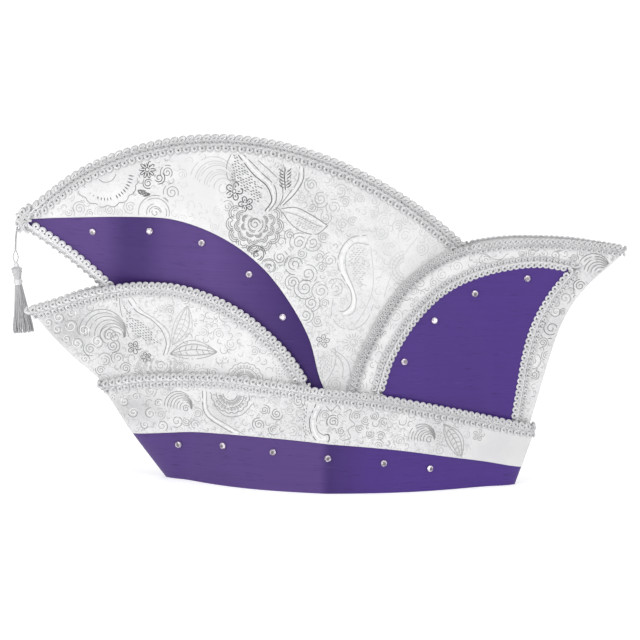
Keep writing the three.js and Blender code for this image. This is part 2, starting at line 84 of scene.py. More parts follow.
# Cloth thicknesses and clearances
CROWN_CLOTH = 1.6
FACING_CLOTH = 1.0
FLAP_CLOTH = 1.8
BAND_CLOTH = 1.6
INSET_CLOTH = 1.0
GAP = 0.6
INSET_GAP = 0.75
HALF_SEAM = 0.15
HEM = 0.9
HEM_EDGE = 0.25  # share of the cloth's thickness at the very edge of its hem
SHARP_ANGLE = 50  # degrees from which an edge is shaded sharp

# Crown
POINT_X, POINT_Z = -226, 192
RIM_FRONT, RIM_REAR = -104, 138
RIM_HALF_WIDTH = 52
FRONT_EDGE_POWER = 2.7
EDGE_BELLY = 90
RIDGE_BELLY = 260
FRONT_POWER_AT_RIM, FRONT_POWER_PER_HEIGHT = 1.1, 1 / 240
REAR_POWER = 1.2

# Painted sheen and shade of the shot silk along the cap: x, painted shade from deep 0 to pale 1, from dull 0
# to rich 1
SILK_PAINTED_SHADE = {
    "crown": [
        (-228, 1.0, 0), (-172, 0.95, 0), (-161, 0.8, 0), (-148, 0.12, 0), (-133, 0.12, 0), (-116, 0.7, 0),
        (-80, 0.95, 0), (-45, 0.45, 0), (-20, 0.05, 0), (140, 0.05, 0),
    ],
    "band": [
        (-165, 0.68, 0), (-100, 0.72, 0), (-40, 0.78, 0), (2, 0.88, 0), (9, 0.05, 0.1), (40, 0.3, 0.8),
        (80, 0.35, 1), (162, 0.35, 1),
    ],
    "rear_inset": [(40, 0.25, 0.78), (190, 0.25, 0.78)],
}

# Soft folds of the stiffened silk: the crown swells behind its point, and the band is creased
SWELL, SWELL_X, SWELL_REACH = 3.4, -152, 15
SWELL_OFF_RIDGE, SWELL_OFF_FRONT = 20, 8
SWELL_FROM_Z, SWELL_RISE = 146, 15
CREASE, CREASE_X, CREASE_REACH = 3.2, 7, 18
FOLD_ROUNDING = 6  # square millimetres

# Hull of flaps and band
WEDGE_FRONT = [(0, 0.7), (35, 0.3), (70, 0.11), (100, 0.09), (260, 0.09)]  # z, width per length
WEDGE_REAR = [(0, 0.7), (35, 0.35), (70, 0.17), (100, 0.15), (260, 0.15)]  # z, width per length
WEDGE_MOST = [(0, 20), (35, 28), (70, 45), (100, 60), (260, 60)]  # z, width
HULL_STANDOFF = 4.2
SEAM_SOFTNESS = 7
LEAST_LENGTH = 1e-6
SEAM_CROWDING = 0.32
HULL_BLEND = 3
BAND_OVERLAP = 5
BAND_LIFT_RIM, BAND_LIFT_TOP, BAND_LIFT_FROM, BAND_LIFT_TO = -0.7, 2.9, 5, 40
TUCK = 12
INSET_TUCK = 1.5
INSET_SEAT_HEIGHT, INSET_SEAT_LEAST = 4, 0.25
FRONT_FLAP_FOOT = -154, -10  # x of its front and rear
REAR_FLAP_FOOT = 22, 156
INSET_FOOT = 47, 145
FACING_RIDGE_FROM, FACING_RIDGE_SPAN = 0.014, 0.886  # shares of the ridge's length

# Side-view curves, front to rear: x, z
RIDGE = [
    (-226, 192), (-180, 228), (-120, 250.5), (-75, 255), (-30, 250),
    (30, 229), (80, 198.5), (110, 172.5), (138, 136),
]
BAND_TOP = [
    (-165, 70), (-140, 75.5), (-104, 78.7), (-71, 80.8), (-29, 78.8),
    (1, 75.6), (45, 70.7), (90, 61.3), (136, 49.7), (162, 44),
]
BAND_FACING_EDGE = [
    (-139.5, 33), (-110, 36), (-70, 39), (-28, 39.2), (16, 36.5), (61, 31.7), (106, 23.2), (153, 13.5),
]
CROWN_FACING_EDGE = [
    (-219, 193.4), (-184.5, 196), (-141.5, 199), (-111.5, 198.5), (-84.5, 191), (-60.5, 178.5),
    (-42.5, 164), (-24.5, 142), (-9, 115.5), (3.5, 77), (12, 64), (32, 66), (47, 100), (75, 138),
    (106, 160),
]
FRONT_FLAP_TOP = [
    (-219.5, 126.5), (-198, 132.5), (-180, 138.5), (-159, 143.2), (-129, 147), (-108, 147.2),
    (-84, 142), (-60.5, 131.5), (-43, 119), (-25, 102), (-9, 79), (-4, 69),
]
REAR_FLAP_TOP = [
    (20, 63), (23, 75), (27.5, 92), (38.5, 117.5), (50, 137.5), (65, 155.5), (80, 167), (97, 175.8),
    (116, 181.2), (138, 184.6), (162, 185.6), (186, 185), (207, 182.8), (227.7, 180),
]
REAR_INSET_TOP = [
    (47, 78), (52, 95.5), (59, 110), (71, 127.5), (88.5, 144.5), (112, 157.5), (139, 165.5), (163, 168),
    (184.5, 165),
]
REAR_INSET_EDGE = [(184.5, 165), (171, 147), (158.5, 122.5), (152, 98), (149, 77), (145.5, 53)]
POINT_TURN = [(-219.5, 202.5), (-225, 197.5), (-227.3, 191), (-225.5, 184.5)]

# Seams of the hull: z, x
FRONT_SEAM = [(0, -109), (32, -134), (69, -160.5), (95, -190.5), (128, -220.3), (150, -239)]
REAR_SEAM = [
    (0, 144), (40, 157), (77, 167), (101, 173.5), (123, 180.8), (141, 190.5), (158, 205), (172, 220.5),
    (182, 228.7),
]

# Gimp braid: two rows of cord loops and a plait between them, on a woven tape
LOOP_SWING = 2.75
LOOP_REACH = 1.9
LOOP_STEPS = 12
LOOP_SIDES = 5
LOOP_LIFT = 1.35
LOOP_WEAVE = 0.4
LOOP_TIP_DROP = 0.5
GIMP_RADIUS = 1.12
THREADS_ALONG = 9.0  # radians of thread for each millimetre of cord
FULL_TURN = 6.2832
PLAIT_RADIUS = 0.55
PLAIT_LIFT = 1.9
PLAIT_STEPS = 8
PLAIT_SWING = 0.95
PLAIT_WEAVE = 0.3
LEAN_OVER_EDGE, LEAN_OVER_RIDGE = 0.55, 0.2
EDGE_SAMPLES = 500
RUN_OUT = 14  # in steps of one millimetre
LOOPS_SHORT = 1.2  # how far the loops stop short of their tape's ends
TAPE_STEP = 1.6
TAPE_LEAST_STEPS = 8
TAPE_FOOT, TAPE_FACE = 0.1, 0.6  # lifts
TAPE_TURN = 0.9  # how far a turned tape reaches over the inner face
FRONT_BRAID_TOP, FRONT_BRAID_FOOT = 187.4, 128  # z
TIP_PROUD, TIP_REACH = 3.6, 20
FRONT_PROUD = 2.7
START_DROP, START_REACH = 2.2, 85
REAR_FLAP_TURN = 0.56  # share of the rear flap's edge at which its braid changes, from its front part in painted shade to its top

# Cut stones
STONE_RADIUS = 2.4
STONE_GIRDLE = 0.7
STONE_HEIGHT = 1.9
STONE_TABLE = 1.35
STONE_BULGE = 0.12
STONE_SIDES = 16
# Painted glints and dark reflections of the facets and table, and the girdle wall's painted shade: shades and
# their odds
FACET_GLINTS, FACET_ODDS = [0.25, 0.7, 0.95], [0.3, 0.3, 0.4]
TABLE_GLINTS, TABLE_ODDS = [0.05, 0.2, 0.9], [0.4, 0.4, 0.2]
GIRDLE_GLINT = 0.4
GLINT_GREEN = 0.9  # share of green in a painted glint, for its violet cast
STONES = {
    "crown": [(-171, 186), (-128, 189), (-89, 182), (-53.5, 160), (-28, 129)],  # x, z
    "rear": [(153.5, 158), (114.5, 146), (84.5, 126.5), (62.5, 97)],
    "band": [(-104.5, 27), (-70.5, 30), (-33, 29), (7.5, 26.5), (49, 22.5), (83.5, 17)],
}
STONE_SEAT = {"crown": 0.3, "rear": 0.5, "band": 0.5}

# Brocade motifs on the near side; the far side mirrors them
YARN_WIDTH = 0.65
YARN_WIDER = 0.55
YARN_BREAKS = 0.025
YARN_TAPER = 0.4  # share of the width at an end
BOLD_WIDTH = 1.2
BOLD_SHARE, SCROLL_SHARE = 0.22, 0.4  # width of a bold mark and of a white one, as shares of the motif's size
BOLD_DEEPER = 0.3
FILL_TONE = 0.25  # share of the motif's tone
FILL_RISE = 0.07
YARN_RISE = 0.16
YARN_SINK = 0.12
YARN_STEP = 0.9
YARN_LEAST_POINTS = 3
LINE_STEPS = 12  # for each charted point of a line
WHITE = -0.3  # tone of the white yarn
SCROLL_EDGE = 0.62  # tone of the dark line along a white scroll
DASH_LENGTH = 1.7
DASH_SPACING = 1.9
DASH_ROW_SHARE, DASH_GAP_SHARE = 0.8, 1.4  # of the spacing
DASH_ROWS, DASHES_IN_ROW = 16, 14  # to either side of the middle
DASH_SCATTER = 0.3
# Rows are motif, x, z, radius or length, turn in degrees and tone from pale 0 to dark 1, partly painted
# reflection; a scroll is white
MOTIFS_CHARTED = {
    "crown_facing": [
        ("fan", -162, 231, 26, 0, 0.6), ("daisy", -131, 233.5, 6.2, 0, 0.85),
        ("curl", -116, 232, 4, 0, 0.6), ("curl", -122, 228, 3.4, 200, 0.8), ("curl", -130, 224, 3, 90, 0.8),
        ("curl", -112, 218, 5, 30, 0.5), ("curl", -181, 203, 4, 0, 0.4), ("curl", -173, 200, 3, 120, 0.4),
        ("leaf", -128, 216, 10, 165, 0.8), ("rose", -124, 203, 12.5, 0, 0.5),
        ("shell", -82, 227, 17, -15, 0.16), ("flower", -66, 220, 6.5, 0, 0.95),
        ("flower", -57, 211, 5.5, 36, 0.9), ("fern", -28, 221, 17, 92, 0.9),
        ("lotus", -50, 197, 20, 0, 0.6), ("rose", -48, 175, 7.5, 60, 0.8), ("rose", -39, 166, 6, 10, 0.6),
        ("curl", -17, 184, 5.4, 0, 0.55), ("curl", -7, 184, 4.9, 140, 0.55),
        ("curl", -20, 168, 5.8, 60, 0.65), ("curl", -31, 173, 4.5, 200, 0.6),
        ("curl", 6, 171, 4.5, 30, 0.5), ("curl", -10, 161, 5.4, 250, 0.6),
        ("curl", -12, 151, 6.3, 100, 0.65), ("curl", 0, 149, 5.4, 20, 0.55),
        ("curl", 11, 151, 5.4, 310, 0.5), ("curl", -7, 140, 4.9, 180, 0.6),
        ("curl", -21, 155, 4.5, 50, 0.6), ("curl", -11, 131, 4.5, 220, 0.6),
        ("curl", -24, 189, 3.2, 10, 0.55), ("curl", 1, 188, 3.2, 80, 0.5), ("curl", -15, 176, 3, 160, 0.5),
        ("curl", -2, 174, 3.2, 240, 0.5), ("curl", 0, 166, 3, 300, 0.5), ("curl", 3, 140, 3, 30, 0.5),
        ("curl", -2, 127, 3.4, 110, 0.55), ("curl", -9, 225, 4, 40, 0.5), ("curl", -2, 215, 4.9, 120, 0.5),
        ("curl", -8, 209, 3.4, 250, 0.5), ("curl", 8, 209, 4.5, 10, 0.45), ("curl", 2, 202, 3.6, 190, 0.45),
        ("curl", 15, 197, 4, 70, 0.4), ("curl", 13, 220, 4, 300, 0.4), ("sun", 25, 111, 7.7, 0, 0.5),
        ("flower", 2, 112, 5, 10, 0.8), ("rays", 62, 165, 12, 0, 0.3),
    ],
    "front_flap": [
        ("shell", -163, 110, 17.5, 0, 0.6), ("scroll", -177, 111, 4, 0), ("scroll", -167, 103, 4, 120),
        ("curl", -158, 108, 5.2, 40, 0.65), ("curl", -155, 100, 4.1, 200, 0.65),
        ("curl", -172, 97, 4.1, 80, 0.6), ("curl", -161, 89, 4.1, 300, 0.6),
        ("curl", -151, 91, 4.1, 20, 0.6), ("scroll", -182, 101, 3.6, 160), ("scroll", -197, 111, 3.2, 0),
        ("scroll", -196, 120, 3.6, 90), ("scroll", -187, 114, 3.8, 220), ("scroll", -204, 116, 3, 40),
        ("scroll", -186, 124, 3.2, 300), ("scroll", -190, 104, 2.8, 30), ("curl", -164, 81, 3.2, 60, 0.6),
        ("curl", -145, 83, 3.4, 330, 0.6), ("scroll", -176, 89, 2.8, 210), ("flower", -139, 99, 5, 0, 0.8),
        ("flower", -130, 92, 4, 36, 0.8), ("lotus", -119, 86, 17, 0, 0.35), ("leaf", -112, 95, 36, 8, 0.55),
        ("leaf", -99, 134, 34, 250, 0.3), ("arch", -55, 80, 14, 180, 0.5), ("curl", -75, 114, 3.4, 0, 0.3),
        ("curl", -66, 107, 3.6, 120, 0.3), ("curl", -87, 115, 3.4, 240, 0.25),
    ],
    "band_facing": [
        ("scroll", -155, 61, 2.6, 0), ("scroll", -146, 58, 2.8, 90), ("scroll", -137, 62, 2.4, 200),
        ("scroll", -126, 50, 3.4, 300), ("scroll", -139, 50, 3.2, 50), ("scroll", -117, 41, 3.4, 160),
        ("scroll", -130, 41, 2.6, 10), ("scroll", -120, 58, 2.6, 250), ("scroll", -106, 45, 3.8, 90),
        ("shell", -105, 57, 10.5, 0, 0.65), ("arch", -66, 70, 15, 0, 0.6), ("curl", -44, 49, 3.8, 20, 0.6),
        ("curl", -31, 58, 3.6, 140, 0.6), ("curl", -40, 60, 3, 250, 0.55), ("curl", -33, 46, 3, 90, 0.55),
        ("curl", 28, 58, 2.7, 0, 0.5), ("curl", 35, 55, 2.6, 110, 0.5), ("curl", 41, 58, 2.6, 220, 0.5),
        ("curl", 48, 53, 2.6, 330, 0.5), ("curl", 31, 49, 2.6, 70, 0.5), ("curl", 38, 45, 2.6, 180, 0.5),
        ("curl", 46, 43, 2.7, 290, 0.5), ("shell", 77, 41, 10, 0, 0.6), ("leaf", 93, 50, 30, 298, 0.5),
        ("flower", 120, 40, 4.5, 0, 0.5), ("curl", 11, 54, 3.8, 0, 0.6), ("curl", 17, 47, 2.8, 120, 0.55),
    ],
    "rear_flap": [
        ("curl", 101, 166, 4, 0, 0.5), ("curl", 90, 160, 4, 140, 0.5), ("shell", 203, 165, 12, -15, 0.75),
        ("curl", 193.5, 152, 4, 30, 0.85), ("scroll", 182.5, 142.5, 3.6, 150),
        ("curl", 190.5, 143, 2.8, 270, 0.8), ("scroll", 176, 132.5, 3.4, 60),
        ("curl", 181.5, 131.5, 2.4, 0, 0.7), ("curl", 173, 119.5, 6.2, 190, 0.85),
        ("curl", 167, 108.5, 3, 310, 0.7), ("scroll", 160, 95.5, 5.4, 100), ("curl", 161, 84, 3, 220, 0.7),
        ("scroll", 154.5, 76, 3, 340), ("scroll", 165.5, 177, 3, 0), ("scroll", 173.5, 175.5, 3, 120),
        ("scroll", 181.5, 177, 3, 240), ("curl", 157, 177, 2.6, 60, 0.6),
        ("curl", 149, 176.5, 2.6, 180, 0.6), ("curl", 189, 173, 2.6, 30, 0.6),
        ("curl", 122, 171, 3.6, 60, 0.6), ("flower", 70, 140, 4.4, 0, 0.4), ("curl", 57, 121, 4, 60, 0.4),
    ],
}
LINES_CHARTED = {  # tone, then x, z along the line
    "crown_facing": [
        (0.9, [(-65, 247), (-53, 233), (-40, 221), (-38, 214), (-43, 206)]),
        (0.7, [(-61, 247), (-48, 235), (-35, 221), (-35, 213), (-40, 206)]),
        (0.6, [(-49, 242), (-39, 234), (-32, 227), (-30, 216), (-35, 207)]),
        (0.5, [(-68, 248), (-72, 238), (-70, 228), (-62, 227)]),
        (0.8, [(-15, 239), (-15, 229), (-20, 220), (-30, 210)]),
        (0.6, [(-18, 238), (-19, 228), (-25, 219), (-32, 210)]),
        (0.7, [(-31, 208), (-21, 209), (-9, 204), (4, 196)]),
        (0.7, [(-30, 206), (-25, 199), (-13, 191), (-4, 190), (4, 196)]),
        (0.5, [(-28, 206), (-18, 203), (-8, 198), (0, 195)]),
        (0.75, [
            (33, 189), (21, 187), (14, 179), (12, 167), (17, 157), (22, 148), (22, 139), (17, 134), (11, 135),
        ]),
        (0.6, [(35, 182), (24, 183), (18, 176), (18, 165), (23, 153), (26, 143), (24, 133), (16, 130)]),
        (0.4, [(36, 181), (38, 165), (38, 150), (32, 134), (24, 122)]),
        (0.5, [(9, 143), (8, 132), (14, 123), (25, 121), (33, 126), (39, 139)]),
        (0.5, [(11, 108), (12, 100), (10, 91), (5, 82)]),
        (0.5, [(7, 107), (17, 95), (17, 83)]),
        (0.5, [(9, 107), (20, 98), (24, 83)]),
        (0.25, [(46, 142), (52, 160), (62, 176), (71, 187)]),
    ],
    "front_flap": [
        (0.6, [(-151, 139), (-149, 125), (-146, 116), (-143, 107)]),
        (0.75, [(-146, 138), (-138, 127), (-127, 121), (-118, 112), (-115, 103), (-117, 94)]),
        (0.55, [(-141, 137), (-134, 128), (-123, 121), (-113, 111), (-112, 103), (-114, 95)]),
        (0.5, [(-200, 124), (-186, 128), (-172, 134), (-158, 135)]),
    ],
    "band_facing": [
        (0.7, [(-87, 70), (-85, 53), (-69, 43), (-57, 38)]),
        (0.5, [(-84, 70), (-82, 55), (-67, 46), (-54, 40)]),
        (0.8, [(-2, 67), (-6.5, 54), (-4, 43), (3, 37.5), (8, 40), (7.5, 44.5), (4, 44)]),
        (0.6, [(3, 66), (-1.5, 54), (0.5, 46), (4, 44)]),
        (0.5, [
            (5, 66), (9, 62), (14, 66), (18, 61), (24, 63), (23, 56), (27, 52), (22, 48), (24, 42), (18, 40),
        ]),
        (0.5, [(-79, 61), (-70, 53), (-57, 55), (-49, 64)]),
    ],
    "rear_flap": [
        (0.5, [(116, 176), (123, 175), (128, 172), (134, 172), (138, 176), (144, 173), (152, 177)]),
    ],
}
RIBBONS_CHARTED = {  # white ribbons between two lines: width, then x, z along the ribbon
    "crown_facing": [
        (2.6, [(-63, 247), (-50.5, 234), (-37.5, 221), (-36.5, 213.5), (-41.5, 206)]),
        (2.4, [(-16.5, 238.5), (-17, 228.5), (-22.5, 219.5), (-31, 210)]),
        (4.0, [
            (33, 186), (22.5, 185), (16, 177.5), (15, 166), (20, 155), (24, 145.5), (23, 136), (16.5, 132),
        ]),
        (2.4, [(-29, 207.5), (-19, 206), (-8.5, 201), (2, 196)]),
    ],
    "front_flap": [
        (2.4, [(-143, 137), (-136, 127.5), (-125, 121), (-115.5, 111.5), (-113.5, 103), (-115.5, 95)]),
    ],
    "band_facing": [
        (2.6, [(-85.5, 70), (-83.5, 54), (-68, 44.5), (-55.5, 39)]),
        (3.0, [(0.5, 66.5), (-4, 54), (-2, 44.5), (3, 40.5), (6, 42.5)]),
    ],
    "rear_flap": [],
}
DASHES_CHARTED = {  # tone, turn in degrees, then the corners, x, z
    "crown_facing": [
        (0.95, 150, [(-67, 247), (-58, 236), (-45, 222), (-47, 211), (-56, 219), (-69, 228)]),
        (0.6, 60, [(-37, 240), (-30, 239), (-24, 231), (-26, 222), (-32, 231)]),
        (0.5, 20, [(-14, 203), (-4, 199), (0, 195), (-6, 192), (-14, 194), (-22, 200)]),
        (0.6, 0, [(22, 181), (30, 180), (33, 164), (29, 150), (24, 160), (19, 170)]),
        (0.5, 90, [(0, 100), (9, 104), (9, 92), (3, 84), (-1, 92)]),
    ],
    "front_flap": [
        (0.85, 140, [(-147, 131), (-138, 121), (-127, 114), (-120, 102), (-129, 104), (-145, 113)]),
        (0.5, 45, [(-36, 96), (-25, 94), (-19, 84), (-32, 82)]),
    ],
    "band_facing": [
        (0.75, 90, [(-12, 67), (-8, 67), (-9, 54), (-5, 43), (-12, 45)]),
        (0.5, 30, [(84, 46), (94, 44), (98, 33), (88, 34)]),
    ],
    "rear_flap": [(0.5, 20, [(205, 178), (216, 177), (210, 170), (204, 172)])],
}
FIELD_CURLS = {"crown_facing": 400, "front_flap": 170, "band_facing": 150, "rear_flap": 130}
FIELD_TONES = {
    "crown_facing": (0.1, 0.45), "front_flap": (0.2, 0.5), "band_facing": (0.2, 0.5),
    "rear_flap": (0.3, 0.65), "plain": (-0.05, 0.1),
}
FIELD_RADII = (1.3, 4.2)
FIELD_CURLED = 2.7  # radius from which a mark of the field is a curl and not a hook
FIELD_CLEAR = (-112, -72)  # plain ground between two repeats of the crown's pattern
FIELD_TRIES = 6000
FIELD_KEPT_OFF, FIELD_APART = 0.9, 1.25  # shares of a motif's radius and of the mark's own
FIELD_OFF_LINES = 1.0
TONE_ALONG = {  # x, share of the charted tone, which sets the yarns' painted reflection along the cap
    "crown_facing": [(-204, 1), (-15, 1), (35, 0.45), (106, 0.45)],
    "front_flap": [(-218, 1), (-60, 1), (-4, 0.8)],
    "band_facing": [(-165, 1), (-40, 1.15), (20, 1.15), (162, 0.9)],
    "rear_flap": [(24, 0.7), (110, 0.7), (190, 1), (226, 1)],
}
WOVEN_ALONG = {  # x, share of the fine woven scribble
    "crown_facing": [
        (-228, 0.3), (-125, 0.4), (-105, 0.05), (-80, 0.05), (-66, 0.9), (5, 0.9), (50, 0.3), (140, 0.2),
    ],
    "front_flap": [(-240, 0.9), (-110, 0.8), (-85, 0.3), (0, 0.4)],
    "band_facing": [(-180, 0.5), (-60, 0.9), (60, 1), (105, 0.8), (120, 0.05), (180, 0.05)],
    "rear_flap": [(20, 0.2), (110, 0.3), (150, 0.7), (230, 1)],
}
GREYS_AND_SHADE_CHARTED = {  # soft grey ground, partly the brocade's own grey and partly painted shade: x, z, half width, half height, depth
    "crown_facing": [(-165, 215, 50, 34, 0.16), (-45, 205, 24, 34, 0.1), (10, 110, 24, 40, 0.12)],
    "front_flap": [(-186, 112, 26, 16, 0.85), (-150, 98, 24, 16, 0.35), (-122, 104, 20, 18, 0.2)],
    "band_facing": [
        (-138, 54, 26, 14, 0.75), (-76, 56, 14, 16, 0.4), (-10, 52, 46, 14, 0.28), (90, 42, 14, 12, 0.25),
        (140, 30, 22, 16, 0.42),
    ],
    "rear_flap": [(206, 166, 20, 16, 0.3), (176, 125, 14, 40, 0.35)],
}

# How far the raised yarns keep off seams, hems, the band's top and the braids
SEAM_CLEAR = 2
HEM_CLEAR = 1.3
BAND_CLEAR = 1
RIDGE_CLEAR, BRAID_CLEAR, REAR_BRAID_CLEAR = 8.4, 6.5, 5.5
BEHIND_FLAP = 5  # how far the crown facing's yarns run on behind the rear flap's edge
INSET_CLEAR = (60, 180), (8, 6)  # x, distance over the inset's top
INSET_EDGE_CLEAR = 9
FACING_YARNS_FRONT = -204  # x
REAR_YARNS_FRONT = 24

# Tassel and its cord; profiles are rows of distance from the top and radius
CORD_PITCH = 3.4
CORD_SAMPLES = 160
CORD_SIDES = 8
CORD_EYE = 10.5
EYE_END = 1.5
EYE_HALF, EYE_ROUNDNESS = 1.5, 1.4
TASSEL_TOP = np.array((-229.5, 8.2, 159.0))
TASSEL_FOOT = np.array((-223.2, 9.6, 106.0))
TASSEL_LENGTH = np.linalg.norm(TASSEL_FOOT - TASSEL_TOP)
SKIRT_TOP = 15.8
KNOT = [(-0.4, 0.5), (0.6, 1.5), (2.0, 1.9), (3.6, 1.4)]
KNOB = [(2.8, 1.4), (3.8, 3.4), (5.4, 3.7), (9.0, 3.0), (12.8, 2.4)]
WRAP = [(12.4, 2.4), (13.0, 2.9), (15.8, 3.0), (16.6, 2.6)]
SKIRT = [(SKIRT_TOP, 2.4), (21, 3.1), (34, 4.6), (TASSEL_LENGTH - 2.0, 6.0), (TASSEL_LENGTH, 5.9)]
LATHE_ROWS, LATHE_SIDES = 60, 48
LATHE_LEAST = 0.05
STRANDS = 230
STRAND_SAMPLES, STRAND_SIDES = 17, 4
STRAND_RADIUS, STRAND_THINNING = 0.34, 0.35
STRAND_UNEVEN = 5.0  # how far short a strand may end
STRAND_SHARES = 0.25, 1.0  # square of a strand's place between the middle and the outside
STRAND_SWAY, STRAND_WAVE, STRAND_WAVES = 0.32, 0.07, 7
STRAND_PHASES = 0, 6.3
SKIRT_SPLAY, SPLAY_POWER, SKIRT_DEPTH = 0.32, 1.5, 0.62


# Curves
def summed(spans):
    """Lengths from the start of a run of spans to each of its points."""
    return np.concatenate(([0], np.cumsum(spans)))


def unit(rows):
    """Vectors in rows, each made one unit long."""
    return rows / np.linalg.norm(rows, axis=-1, keepdims=True)


def curve_through(rows):
    """A smooth curve through (key, value) rows, for arrays of keys."""
    at, to = (np.array(column, float) for column in zip(*rows))
    step = np.diff(at)
    rise = np.diff(to) / step
    inner = (rise[:-1] * step[1:] + rise[1:] * step[:-1]) / (step[:-1] + step[1:])
    slope = np.concatenate(([rise[0]], inner, [rise[-1]]))

    def value(key):
        key = np.asarray(key, float)
        i = np.clip(np.searchsorted(at, key, side="right") - 1, 0, len(at) - 2)
        t = (key - at[i]) / step[i]
        keep = 1 - t
        start = to[i] * (1 + 2 * t) * keep**2 + slope[i] * step[i] * t * keep**2
        return start + to[i + 1] * (3 - 2 * t) * t**2 - slope[i + 1] * step[i] * t**2 * keep

    return value


def path_through(rows):
    """A side-view path through (x, z) rows, followed from 0 to 1 by its length."""
    x, z = (np.array(column, float) for column in zip(*rows))
    reach = summed(np.hypot(np.diff(x), np.diff(z)))
    across, up = curve_through(zip(reach, x)), curve_through(zip(reach, z))
    return lambda t: (across(np.asarray(t) * reach[-1]), up(np.asarray(t) * reach[-1]))


def line(a, b):
    return lambda t: (a[0] + (b[0] - a[0]) * np.asarray(t), a[1] + (b[1] - a[1]) * np.asarray(t))


ridge_height = curve_through(RIDGE)
ridge_path = path_through(RIDGE)
front_seam = curve_through(FRONT_SEAM)
rear_seam = curve_through(REAR_SEAM)
band_top = curve_through(BAND_TOP)
band_top_path = path_through(BAND_TOP)
front_flap_top = path_through(FRONT_FLAP_TOP)
rear_flap_top = path_through(REAR_FLAP_TOP)
inset_edge = curve_through([(z, x) for x, z in reversed(REAR_INSET_EDGE)])
wedge_front, wedge_rear, wedge_most = map(curve_through, (WEDGE_FRONT, WEDGE_REAR, WEDGE_MOST))


# Half width of each layer
def bellied(distance, reach, power=1):
    """A rise from 0 at no distance towards 1, half way up at its reach."""
    d = np.maximum(distance, 0) ** power
    return d / (d + reach**power)


def crown_front(z):
    return RIM_FRONT + (POINT_X - RIM_FRONT) * (np.maximum(z, 0) / POINT_Z) ** FRONT_EDGE_POWER


def crown_belly(x, z):
    power = FRONT_POWER_AT_RIM + FRONT_POWER_PER_HEIGHT * np.maximum(z, 0)
    front = bellied(x - crown_front(z), EDGE_BELLY, power)
    return front * bellied(ridge_height(x) - z, RIDGE_BELLY) * bellied(RIM_REAR - x, EDGE_BELLY, REAR_POWER)


SEAM_WIDTH = HALF_SEAM + CROWN_CLOTH
RIM_SAMPLES = np.linspace(RIM_FRONT, RIM_REAR, 400)
BELLY = (RIM_HALF_WIDTH - SEAM_WIDTH) / crown_belly(RIM_SAMPLES, 0).max()


def offset(surface, added):
    """A half width that stands off another."""
    return lambda x, z: surface(x, z) + added


def folded_at(x, height, place, reach):
    """A soft fold across the cloth: highest at its place, falling off to both sides."""
    return height * np.exp(-np.sqrt((x - place) ** 2 + FOLD_ROUNDING) / reach)


def crown_swell(x, z):
    off_edges = bellied(ridge_height(x) - z, SWELL_OFF_RIDGE) * bellied(x - crown_front(z), SWELL_OFF_FRONT)
    over_flap = np.clip((z - SWELL_FROM_Z) / SWELL_RISE, 0, 1)
    return folded_at(x, SWELL, SWELL_X, SWELL_REACH) * off_edges * over_flap


def crown_outer(x, z):
    return SEAM_WIDTH + BELLY * crown_belly(x, z) + crown_swell(x, z)


crown_inner = offset(crown_outer, -CROWN_CLOTH)
crown_facing_inner = offset(crown_outer, GAP)
crown_facing_outer = offset(crown_facing_inner, FACING_CLOTH)


def hull(x, z, overlap):
    """How far a place is off the hull's seams, from 0 to 1, and the hull's half width there."""
    front = np.maximum(x - front_seam(z) + overlap, LEAST_LENGTH)
    rear = np.maximum(rear_seam(z) + overlap - x, LEAST_LENGTH)
    ease = bellied(front, SEAM_SOFTNESS) * bellied(rear, SEAM_SOFTNESS)
    wedge = 1 / (1 / (wedge_front(z) * front) + 1 / (wedge_rear(z) * rear) + 1 / wedge_most(z))
    crown_width = crown_outer(x, z) - SEAM_WIDTH
    wrapped = (crown_width**HULL_BLEND + wedge**HULL_BLEND) ** (1 / HULL_BLEND)
    return ease, HALF_SEAM + HULL_STANDOFF * ease + wrapped


def flap_inner(x, z):
    return hull(x, z, 0)[1]


flap_outer = offset(flap_inner, FLAP_CLOTH)


def inset_seat(x, z):
    """The inset lies closer to the flap where the band's braid covers its foot."""
    return np.clip((z - band_top(x)) / INSET_SEAT_HEIGHT, INSET_SEAT_LEAST, 1)


def inset_inner(x, z):
    return flap_outer(x, z) + INSET_GAP * inset_seat(x, z)


def inset_outer(x, z):
    return inset_inner(x, z) + INSET_CLOTH * inset_seat(x, z)


def band_inner(x, z):
    ease, width = hull(x, z, BAND_OVERLAP)
    t = np.clip((z - BAND_LIFT_FROM) / (BAND_LIFT_TO - BAND_LIFT_FROM), 0, 1)
    crease = folded_at(x, CREASE, CREASE_X, CREASE_REACH)
    return width + ease * (BAND_LIFT_RIM + (BAND_LIFT_TOP - BAND_LIFT_RIM) * t * t * (3 - 2 * t)) + crease


band_outer = offset(band_inner, BAND_CLOTH)
band_facing_inner = offset(band_outer, GAP)
band_facing_outer = offset(band_facing_inner, FACING_CLOTH)


def band_front(z):
    return front_seam(z) - BAND_OVERLAP


def band_rear(z):
    return rear_seam(z) + BAND_OVERLAP


def centre(x, z):
    return np.full(np.shape(x), HALF_SEAM)


def surface_normal(surface, x, z):
    """Unit normals of y = surface(x, z), pointing out of the right half."""
    reach = 0.4
    slope_x = (surface(x + reach, z) - surface(x - reach, z)) / (2 * reach)
    slope_z = (surface(x, z + reach) - surface(x, z - reach)) / (2 * reach)
    return unit(np.stack((-slope_x, np.ones_like(slope_x), -slope_z), axis=-1))


# Camera, floor and light
def make_camera():
    tilt, roll = math.radians(ELEVATION), math.radians(ROLL)
    ahead = Vector((0, math.cos(tilt), -math.sin(tilt)))
    level, rise = Vector((1, 0, 0)), Vector((0, math.sin(tilt), math.cos(tilt)))
    right = level * math.cos(roll) + rise * math.sin(roll)
    up = rise * math.cos(roll) - level * math.sin(roll)
    data = bpy.data.cameras.new("camera")
    data.lens = LENS
    data.clip_end = FAR_CLIP
    camera = bpy.data.objects.new("camera", data)
    facing = Matrix((right, up, -ahead)).transposed().to_4x4()
    camera.matrix_world = Matrix.Translation(TARGET - ahead * DISTANCE) @ facing
    bpy.context.scene.collection.objects.link(camera)
    bpy.context.scene.camera = camera


